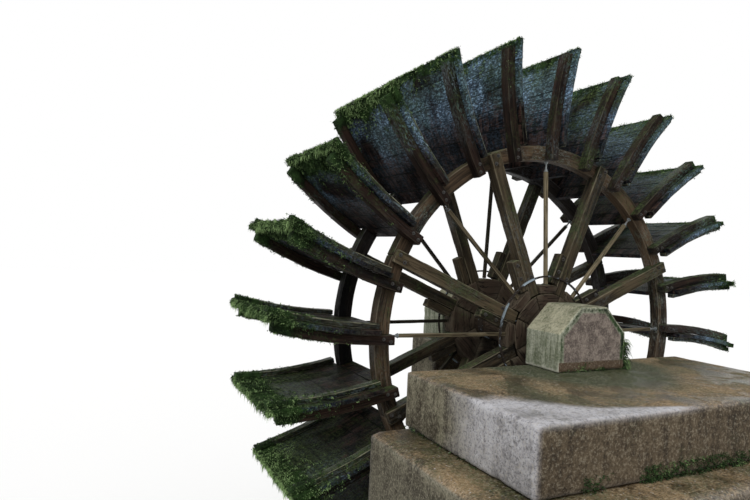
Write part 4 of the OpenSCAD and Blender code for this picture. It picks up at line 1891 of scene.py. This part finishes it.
@dataclass
class Hub:
    """Shaft, discs, iron rings and hoops, and the gudgeons."""

    palette: Palette
    shaft_r: float = 0.150
    shaft_half: float = 0.501
    cracks: int = 9
    disc_r: float = 0.390
    disc_y0: float = 0.316
    disc_y1: float = 0.447
    arm_y0: float = 0.328
    arm_y1: float = 0.428
    arm_half: float = 0.0503
    foot_r: float = 0.3197
    board_gap: float = 0.0012
    strap_r: float = 0.448
    strap_w: float = 0.014
    strap_t: float = 0.012
    hoop_w: float = 0.060
    hoop_t: float = 0.008
    flange_r: float = 0.118
    flange_t: float = 0.020
    flange_bolts: int = 6
    flange_bolts_r: float = 0.088
    journal_r: float = 0.045
    journal_end: float = 0.823
    bare_at: tuple[float, ...] = (116.0, 157.0, 230.0, 300.0)
    sides: int = 96

    def build(self) -> None:
        """Builds all pieces of the hub."""
        self._shaft()
        self._discs()
        self._iron()

    def _shaft(self) -> None:
        """A turned log with open cracks along it."""
        stock = Stock("shaft", seed=21)
        angles = np.arange(self.sides * 2) * math.pi / self.sides
        around, along = np.meshgrid(angles, np.linspace(-self.shaft_half, self.shaft_half, 30))
        crack = np.zeros_like(around)
        for number in range(self.cracks):
            at = stock.rng.uniform(0, 2 * math.pi)
            wander = 0.05 * np.sin(along * stock.rng.uniform(3, 7) + number)
            gap = np.abs((around - at - wander + math.pi) % (2 * math.pi) - math.pi)
            crack += 0.009 * np.exp(-((gap / 0.035) ** 2)) * ease(np.cos(along * 4 + number * 2.1), -0.6, 0.4)
        along = along.ravel()
        turned = circle(around.ravel())
        grain = np.concatenate([along[:, None], turned * self.shaft_r], axis=1)
        radius = self.shaft_r - crack.ravel() - 0.003 * pitting(grain * np.array([4, 26, 26]), 5)
        points = WHEEL.set_out(0.0, turned * radius[:, None], along)
        stock.tube(points, grain, len(angles), 0.0, tone=0.4)
        stock.piece(self.palette.hub, Body.WHEEL, "shaft_timber", "shaft")

    def _plate(
        self, stock: Stock, outline: Array, turn: float, y0: float, y1: float, bevel: float = 0.004
    ) -> None:
        """Adds a flat plate with bevelled rims. Lower plates are darker: painted shade.

        Args:
            stock: The mesh that gets it.
            outline: Its outline, set out from a radius.
            turn: Angle of that radius.
            y0: Where it starts along the axle.
            y1: Where it ends.
            bevel: Width of the bevels.
        """
        centre = outline.mean(0)
        shrink = 1 - bevel / np.linalg.norm(outline - centre, axis=1).mean()
        step = math.copysign(bevel, y1 - y0)
        flat = np.concatenate([centre + (outline - centre) * part for part in (shrink, 1.0, 1.0, shrink)])
        axial = np.repeat([y0, y0 + step, y1 - step, y1], len(outline))
        grain = np.stack([flat[:, 1], flat[:, 0], axial], axis=-1) + stock.rng.uniform(0, 20, 3)
        worn = 0.003 * (layered_noise(grain * 20, stock.seed) + 1)
        flat = flat + unit(centre - flat) * worn[:, None]
        points = WHEEL.set_out(turn, flat, axial)
        # Painted shade: plates towards the bottom get a lower tone, so they come out darker.
        dry = 0.5 + 0.5 * math.sin(turn - math.radians(22))
        tone = dry * stock.rng.uniform(0.7, 1.0)
        stock.tube(points, grain, len(outline), 1.0, 0.2, tone=tone, reach=0.2)

    def _sector(self, r0: float, r1: float) -> Array:
        """Outline of a board between two arms' middle lines.

        Args:
            r0: Its inner radius.
            r1: Its outer radius.

        Returns:
            The outline, set out from the radius in its middle.
        """
        half = math.pi / WHEEL.arms
        outer = circle(np.linspace(-half, half, 15)) * r1
        outline = np.concatenate([outer, circle(np.array([half, -half])) * r0])
        outline[:, 1] -= np.sign(outline[:, 1]) * self.board_gap
        return outline

    def _wedge(self) -> Array:
        """Outline of a block between the pockets of two arms.

        Returns:
            The outline, set out from the radius in its middle.
        """
        half = math.pi / WHEEL.arms
        reach = math.asin(self.arm_half / self.disc_r)
        outer = circle(np.linspace(-half + reach, half - reach, 9)) * self.disc_r
        line = np.array([math.cos(half), math.sin(half)])
        off = np.array([math.sin(half), -math.cos(half)])
        corner = line * self.foot_r + off * self.arm_half
        return np.concatenate([outer, [corner, corner * np.array([1, -1])]])

    def _discs(self) -> None:
        """Boards on both faces of each disc, and the blocks between the arms' feet."""
        stock = Stock("hub_discs", seed=23)
        bore = self.shaft_r + HAIRLINE
        wedge = self._wedge()
        plates = (
            (self._sector(bore, self.disc_r), self.disc_y0, self.arm_y0, 0.004),
            (wedge, self.arm_y0 + 0.0005, self.arm_y1 - 0.0005, 0.003),
            (wedge, self.arm_y1, self.disc_y1 - 0.003, 0.006),
            (self._sector(bore, self.foot_r), self.arm_y1, self.disc_y1, 0.006),
        )
        for side in Side:
            for number in range(WHEEL.arms):
                for outline, y0, y1, bevel in plates:
                    turn = number * WHEEL.arm_step
                    self._plate(stock, outline, turn, side.value * y0, side.value * y1, bevel)
        stock.piece(self.palette.hub, Body.WHEEL, "shaft_timber", "hub_discs")

    def _hoop(self, stock: Stock, r0: float, r1: float, y0: float, y1: float) -> None:
        """Adds an iron ring with a rectangular section.

        Args:
            stock: The mesh that gets it.
            r0: Its inner radius.
            r1: Its outer radius.
            y0: Where it starts along the axle.
            y1: Where it ends.
        """
        angles = np.linspace(0, 2 * math.pi, self.sides + 1)[:-1]
        corners = ((r0, y0), (r1, y0), (r1, y1), (r0, y1))
        rows = [WHEEL.set_out(0.0, circle(angles) * radius, axial) for radius, axial in corners]
        step = np.arange(self.sides)[:, None, None] * 4
        after = (np.arange(self.sides)[:, None, None] + 1) % self.sides * 4
        lines = np.array([[0, 1], [1, 2], [2, 3], [3, 0]])[None]
        quads = np.concatenate([step + lines, after + lines[:, :, ::-1]], axis=2).reshape(-1, 4)
        bare = sum(np.exp(-(((angles - math.radians(at)) / math.radians(6)) ** 2)) for at in self.bare_at)
        stock.add(np.stack(rows, axis=1).reshape(-1, 3), quads, tone=0.5, edge=np.repeat(bare, 4))

    def _iron(self) -> None:
        """The flat rings on the arms, the hoops on the shaft and the gudgeons."""
        hoops = Stock("hub_hoops", seed=25)
        gudgeons = Stock("gudgeons", seed=27)
        hoop_y = self.disc_y0 - 1.5 * self.hoop_w
        flange = self.shaft_half + self.flange_t
        rings = (
            (self.strap_r, self.strap_r + self.strap_w, self.arm_y1, self.arm_y1 + self.strap_t),
            (
                self.shaft_r + HAIRLINE, self.shaft_r + self.hoop_t,
                hoop_y - self.hoop_w / 2, hoop_y + self.hoop_w / 2,
            ),
        )
        rods = [
            (0, 0, self.shaft_half, flange, self.flange_r, {"sides": 48, "bevel": 0.003}),
            (0, 0, self.shaft_half + 0.01, self.journal_end, self.journal_r, {"sides": 40, "bevel": 0.003}),
        ]
        for number in range(self.flange_bolts):
            turn = number * 2 * math.pi / self.flange_bolts
            rods.append((turn, self.flange_bolts_r, flange, flange + 0.012, 0.014, {"sides": 6}))
        for side in Side:
            for r0, r1, y0, y1 in rings:
                self._hoop(hoops, r0, r1, side.value * y0, side.value * y1)
            for turn, out, y0, y1, radius, look in rods:
                gudgeons.rod(*WHEEL.place(turn, out, 0, side.value * np.array([y0, y1])), radius, **look)
        hoops.piece(self.palette.hoops, Body.WHEEL, "iron", "hub_hoops")
        gudgeons.piece(self.palette.iron, Body.WHEEL, "iron", "gudgeons")


@dataclass
class Bolts:
    """Bolts of one side through rib feet, arm ends and cleats, and nails in the battens."""

    side: Side
    palette: Palette
    washer_r: float = 0.013
    washer_t: float = 0.004
    nut_r: float = 0.0085
    nut_end: float = 0.013
    bolt_end: float = 0.019
    nail_r: float = 0.006
    nail_h: float = 0.0045
    sunk: float = 0.004
    bedded: float = 0.003
    rib_bolts: tuple[tuple[float, float], ...] = (
        (WHEEL.ring_inner_r + 0.032, 0.022), (WHEEL.ring_r - 0.030, 0.004),
    )
    nails: tuple[tuple[float, float], ...] = ((0.28, -0.014), (0.72, 0.014))
    arm_bolts: tuple[tuple[float, float], ...] = (
        (WHEEL.ring_inner_r + 0.03, 0.018), (WHEEL.ring_r - 0.035, -0.018),
        (0.50, 0.085), (0.61, 0.085), (0.48, -0.02),
    )

    def __post_init__(self) -> None:
        """Starts the mesh of the bolts."""
        self.sign = self.side.value
        self.stock = Stock(f"bolts_{self.side.word}", seed=120 + self.sign)

    def _bolt(self, at: Array, scale: float = 1.0) -> None:
        """Adds a washer, a nut and a bolt end.

        Args:
            at: Point that they stand on.
            scale: How much larger they are than usual.
        """
        way = np.array([0, self.sign, 0.0])
        tops = (self.washer_t, self.nut_end, self.bolt_end)
        washer, nut, end = (at + way * top * scale for top in tops)
        self.stock.rod(at, washer, self.washer_r * scale, sides=16, bevel=0.0008)
        self.stock.rod(washer, nut, self.nut_r * scale, sides=6, turn=self.stock.rng.uniform(0, 1))
        self.stock.rod(nut, end, self.nut_r * 0.5 * scale, sides=8)

    def build(self) -> None:
        """Builds the bolts and nails."""
        self._rib_bolts()
        self._arm_bolts()
        self.stock.piece(self.palette.iron, Body.WHEEL, "iron")

    def _rib_bolts(self) -> None:
        """Puts two bolts through each rib's foot and two nails in each plank through the batten."""
        face = self.sign * (WHEEL.ring_out + PaddleFrames.rib_t)
        middle = self.sign * (WHEEL.ring_out + PaddleFrames.rib_t / 2)
        top = CURVE.joints(PaddleFrames.batten_off + PaddleFrames.batten_h)
        for number in range(1, WHEEL.paddles + 1):
            angle = WHEEL.paddle_angle(number)
            for radius, across in self.rib_bolts:
                self._bolt(WHEEL.place(angle, radius, across, face - self.sign * self.bedded))
            for start, end in zip(top[:-1], top[1:]):
                normal = unit(np.array([end[1] - start[1], start[0] - end[0]]))
                for part, offset in self.nails:
                    spot = start + (end - start) * part - normal * self.sunk
                    at = WHEEL.place(angle, *spot, middle + offset)
                    head = at + WHEEL.way(angle, *normal) * self.nail_h
                    self.stock.rod(at, head, self.nail_r, sides=6, bevel=0.0008)

    def _arm_bolts(self) -> None:
        """Puts two bolts at each arm's lap, two through its cleat and one at its foot."""
        front = self.sign * (WHEEL.ring_out + ArmSet.arm_front - self.bedded)
        for number in range(WHEEL.arms):
            angle = (number + 0.5) * WHEEL.arm_step
            for radius, across in self.arm_bolts:
                self._bolt(WHEEL.place(angle, radius, across, front), 1.15)


@dataclass
class ConcretePiece:
    """A pier of cast concrete, remeshed so that its edges chip and its faces wear."""

    node: str
    slot: str
    finish: Material
    cell: float
    wear: float = 0.012
    relief: float = 0.003
    rounding: float = 0.12
    walked: float = 0.0

    def build(self) -> None:
        """Builds the piece from a copy of its solid."""
        rough = add_object("rough", frame["nodes"][self.node].data.copy())
        remesh = rough.modifiers.new("cells", "REMESH")
        remesh.mode = "VOXEL"
        remesh.voxel_size = self.cell
        shown = rough.evaluated_get(bpy.context.evaluated_depsgraph_get())
        mesh = bpy.data.meshes.new_from_object(shown)
        bpy.data.objects.remove(rough)
        mesh.name = self.node + "_worn"
        for name, values in self._marks(*self._weather(mesh)).items():
            store(mesh, name, values)
        mesh.shade_smooth()
        add_piece(self.node + "_worn", mesh, self.finish, Body.PIERS, self.slot, (self.node,))

    def _weather(self, mesh: bpy.types.Mesh) -> tuple[Array, Array, Array]:
        """Chips the edges and wears the faces.

        Args:
            mesh: The remeshed solid, which is changed.

        Returns:
            The points before wear, their normals, and 1 on outer edges.
        """
        count = len(mesh.vertices)
        points, normals = np.zeros((count, 3)), np.zeros((count, 3))
        mesh.vertices.foreach_get("co", points.ravel())
        mesh.vertices.foreach_get("normal", normals.ravel())
        pairs = np.zeros((len(mesh.edges), 2), int)
        mesh.edges.foreach_get("vertices", pairs.ravel())
        degree = np.bincount(pairs.ravel(), minlength=count)[:, None]
        seed = len(self.node)
        chipped = ease(layered_noise(points * 6.0, seed, 4), 0.0, 0.8)
        smooth = points.copy()
        for _ in range(4):
            total = np.zeros((count, 3))
            np.add.at(total, pairs[:, 0], smooth[pairs[:, 1]])
            np.add.at(total, pairs[:, 1], smooth[pairs[:, 0]])
            smooth = smooth + (total / degree - smooth) * 0.6
        sunk = np.linalg.norm(smooth - points, axis=1)
        convex = ease(sunk, self.cell * 0.12, self.cell * 0.5)
        moved = points + (smooth - points) * (self.rounding + (1 - self.rounding) * chipped)[:, None]
        pits = pitting(points * 24.0, seed + 9)
        waves = pitting(points * 2.4, seed + 4)
        eaten = self.relief * (pits + waves) + self.wear * convex * chipped
        moved = moved - normals * eaten[:, None]
        mesh.vertices.foreach_set("co", moved.astype(np.float32).ravel())
        mesh.update()
        return points, normals, convex

    def _marks(self, points: Array, normals: Array, convex: Array) -> dict[str, Array]:
        """Surface values: edge is rubbed pale, moss is moss cover, tone is damp and reach faces the camera.

        Args:
            points: The points before wear.
            normals: Their normals.
            convex: 1 on outer edges.

        Returns:
            The values by name.
        """
        low, high = (np.array(corner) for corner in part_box(self.node))
        up = np.clip(normals[:, 2], 0, 1)
        left, front, foot = (points - low).T
        width = np.interp(left, [0.0, 0.18, 0.44, 0.60, 0.86, 1.2], [0.58, 0.50, 0.27, 0.16, 0.10, 0.02])
        ragged = layered_noise(points * 7.0, 31) * 0.28
        walked = up * ease(front / width + ragged, 1.2, 0.75) * ease(left, 1.3, 1.0)
        beside = np.clip(-normals[:, 0], 0, 1) * ease(front + ragged * 0.3, 0.85, 0.45)
        beside = beside * (0.70 + 0.25 * ease(foot, 0.0, 0.4))
        edge = np.clip(convex * 0.25 + (walked + beside) * self.walked, 0, 1)
        toward = np.clip(-normals[:, 1], 0, 1)
        patches = ease(layered_noise(points * 2.6, 77), -0.25, 0.35)
        moss = ease(foot, 0.13, 0.0) * toward * patches * ease(left, 0.2, 0.8) * 0.8
        block = np.hypot(points[:, 0] - WHEEL.axle.x, points[:, 1] - high[1] + 0.2)
        return {"edge": edge, "moss": moss, "tone": up * np.clip(1.2 - block / 0.9, 0, 1), "reach": toward}


@dataclass
class BearingBlock(ConcretePiece):
    """A bearing block with sloped shoulders and a rubbed panel on its outer face."""

    side: Side = Side.NEAR
    side_h: float = 0.270
    top_half: float = 0.130
    foot_h: float = 0.075

    def _marks(self, points: Array, normals: Array, convex: Array) -> dict[str, Array]:
        """Surface values: tone is the panel, reach the damp foot, edge the pale base and a pale rim that is a
        painted highlight, and moss the border.

        Args:
            points: The points before wear.
            normals: Their normals.
            convex: 1 on outer edges, which the blocks don't use.

        Returns:
            The values by name.
        """
        low, high = (np.array(corner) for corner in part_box(self.node))
        middle = (low[0] + high[0]) / 2
        half = (high[0] - low[0]) / 2
        away = np.abs(points[:, 0] - middle)
        height = points[:, 2] - low[2]
        rise = high[2] - low[2] - self.side_h
        slope = math.hypot(half - self.top_half, rise)
        to_slope = ((half - away) * rise - (height - self.side_h) * (half - self.top_half)) / slope
        inside = np.minimum(np.minimum(half - away, to_slope), high[2] - points[:, 2])
        outer = np.clip(normals[:, 1] * self.side.value, 0, 1)
        left = np.clip(-normals[:, 0], 0, 1)
        panel = outer * ease(inside, 0.025, 0.075) * ease(height, 0.055, 0.085)
        foot = outer * ease(height, self.foot_h + 0.01, self.foot_h - 0.02)
        # Painted highlight: a pale line along the outer face's edge, on its left part only.
        rim = outer * ease(inside, 0.014, 0.004) * (points[:, 0] < middle + half * 0.3) * 0.7
        base = left * ease(height, 0.10, 0.0) * 0.5 + ease(height, 0.02, 0.0) * 0.6
        right = ease(points[:, 0] - middle, -half * 0.2, half * 0.9)
        border = outer * (1 - panel) * (1 - foot) * (0.50 + 0.20 * right) * ease(inside, 0.006, 0.02)
        return {"edge": np.clip(rim + base, 0, 1), "moss": border, "tone": panel, "reach": foot}


@dataclass
class PierMoss:
    """Moss tufts on the bearing block's foot and right side, and where the pier meets its plinth."""

    palette: Palette
    seed: int = 410
    sunk: float = 0.004

    def _tufts(
        self, stock: Stock, count: int, low: tuple[float, ...], high: tuple[float, ...],
        outward: tuple[float, ...], length: float, lift: float = 0.1,
    ) -> None:
        """Adds tufts at random places in a box, thicker towards some spots.

        Args:
            stock: The mesh that gets them.
            count: How many tufts at most.
            low: Lowest corner of the box.
            high: Highest corner of the box.
            outward: Direction away from the surface.
            length: Length of the longest blades.
            lift: How much paler they are than others.
        """
        rng = stock.rng
        spots = rng.uniform(low, high, (count * 4, 3))
        spots = spots[rng.uniform(0.40, 0.80, len(spots)) < pitting(spots * 4.0, self.seed)][:count]
        lengths = rng.uniform(0.4, 1.0, len(spots)) * length
        Blades(width=0.0060).grow(stock, spots, np.array(outward), lengths, spread=0.6, lift=lift)

    def build(self) -> None:
        """Builds the tufts: on the block's right side, beside it, on its foot, and under the pier."""
        stock = Stock("pier_moss", seed=self.seed)
        low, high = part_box("near_bearing_block")
        right = high.x - self.sunk
        front = low.y + self.sunk
        top = low.z - self.sunk
        to_right, to_front = (1.0, 0, 0.2), (0, -1.0, 0.6)
        for count, start, end, outward, length in (
            (340, (right, low.y + 0.01, low.z), (right, low.y + 0.22, low.z + 0.21), (1.0, -0.2, 0.2), 0.115),
            (150, (high.x, low.y + 0.02, top), (high.x + 0.08, low.y + 0.24, top), (0.3, 0, 1.0), 0.095),
            (120, (right, low.y + 0.02, low.z + 0.15), (right, high.y, low.z + 0.30), to_right, 0.022),
            (50, (low.x + 0.05, front, low.z), (high.x, front, low.z + 0.025), to_front, 0.016),
            (26, (low.x + 0.14, front, low.z + 0.01), (low.x + 0.30, front, low.z + 0.06), to_front, 0.022),
        ):
            self._tufts(stock, count, start, end, outward, length)
        low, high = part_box("near_pier")
        front = low.y + self.sunk
        left = low.x + self.sunk
        ends = ((low.x + 0.30, front, low.z), (high.x, front, low.z + 0.09))
        self._tufts(stock, 520, *ends, to_front, 0.022, -0.2)
        ends = ((left, low.y, low.z), (left, high.y, low.z + 0.02))
        self._tufts(stock, 40, *ends, (-1.0, 0, 0.6), 0.016, -0.2)
        stock.piece(self.palette.moss, Body.PIERS, "pier_concrete", smooth=False)


@dataclass
class Camera:
    """The photograph's viewpoint."""

    place: tuple[float, float, float] = (-3.3004, -3.4430, 3.1472)
    yaw: float = math.radians(26.1244)
    pitch: float = math.radians(0.0761)
    roll: float = math.radians(2.5959)
    focal_pixels: float = 583.0
    image_width: int = 750
    sensor: float = 36.0

    def build(self) -> None:
        """Makes the scene's camera."""
        lens = bpy.data.cameras.new("camera")
        lens.sensor_width = self.sensor
        lens.lens = self.focal_pixels / self.image_width * self.sensor
        lens.clip_end = 200.0
        made = add_object("camera", lens)
        turned = Matrix.Rotation(-self.yaw, 4, "Z") @ Matrix.Rotation(math.pi / 2 + self.pitch, 4, "X")
        made.matrix_world = Matrix.Translation(self.place) @ turned @ Matrix.Rotation(self.roll, 4, "Z")
        bpy.context.scene.camera = made


@dataclass
class Studio:
    """Plain pale floor, white background, an even fill and one soft sun."""

    floor_half: float = 60.0
    fill: float = 0.62
    sun: float = 2.0
    softness: float = math.radians(35)
    sun_from: tuple[float, float, float] = (-0.55, -0.50, 0.68)

    def build(self) -> None:
        """Builds the floor, the world and the sun."""
        self._floor()
        self._world()
        light = bpy.data.lights.new("soft_sun", "SUN")
        light.energy = self.sun
        light.angle = self.softness
        made = add_object("soft_sun", light)
        made.rotation_mode = "QUATERNION"
        made.rotation_quaternion = (-Vector(self.sun_from)).to_track_quat("-Z", "Y")
        bpy.context.scene.view_settings.view_transform = "Standard"

    def _floor(self) -> None:
        """Lays a large level floor under the piers."""
        mesh = bpy.data.meshes.new("floor")
        half = self.floor_half
        corners = [(-half, -half, 0), (half, -half, 0), (half, half, 0), (-half, half, 0)]
        mesh.from_pydata(corners, [], [(0, 1, 2, 3)])
        mesh.materials.append(FloorFinish().material())
        add_object("floor", mesh)

    def _world(self) -> None:
        """Makes the world: white where the camera and reflections see it, and a plain fill elsewhere."""
        world = bpy.data.worlds.new("world")
        world.use_nodes = True
        graph = Graph(world.node_tree)
        background = world.node_tree.nodes["Background"]
        background.inputs["Color"].default_value = (1.0, 1.0, 1.0, 1.0)
        graph.feed(background.inputs["Strength"], graph.spread(graph.seen(), 0.0, 1.0, self.fill, 1.0))
        bpy.context.scene.world = world


def main() -> None:
    """Builds the camera, the wheel, the piers and the studio, in that order."""
    logging.basicConfig(level=logging.INFO, format="%(name)s %(message)s")
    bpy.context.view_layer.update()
    Camera().build()
    palette = Palette()
    for number in range(1, WHEEL.paddles + 1):
        paddle = Paddle(number, palette)
        paddle.build()
        paddle.grow_moss()
    for side in Side:
        PaddleFrames(side, palette).build()
        FelloeRing(side, palette).build()
        ArmSet(side, palette).build()
    Rods(palette).build()
    Hub(palette).build()
    for side in Side:
        Bolts(side, palette).build()
    walls = (("near_plinth", 0.034, 0.0), ("near_pier", 0.0205, 1.0), ("far_pier", 0.030, 0.0))
    for node, cell, walked in walls:
        ConcretePiece(node, "pier_concrete", palette.pier, cell, walked=walked).build()
    for side, cell in ((Side.NEAR, 0.010), (Side.FAR, 0.014)):
        node = f"{side.name.lower()}_bearing_block"
        BearingBlock(node, "block_concrete", palette.block, cell, side=side).build()
    PierMoss(palette).build()
    Studio().build()


if __name__ == "__main__":
    main()
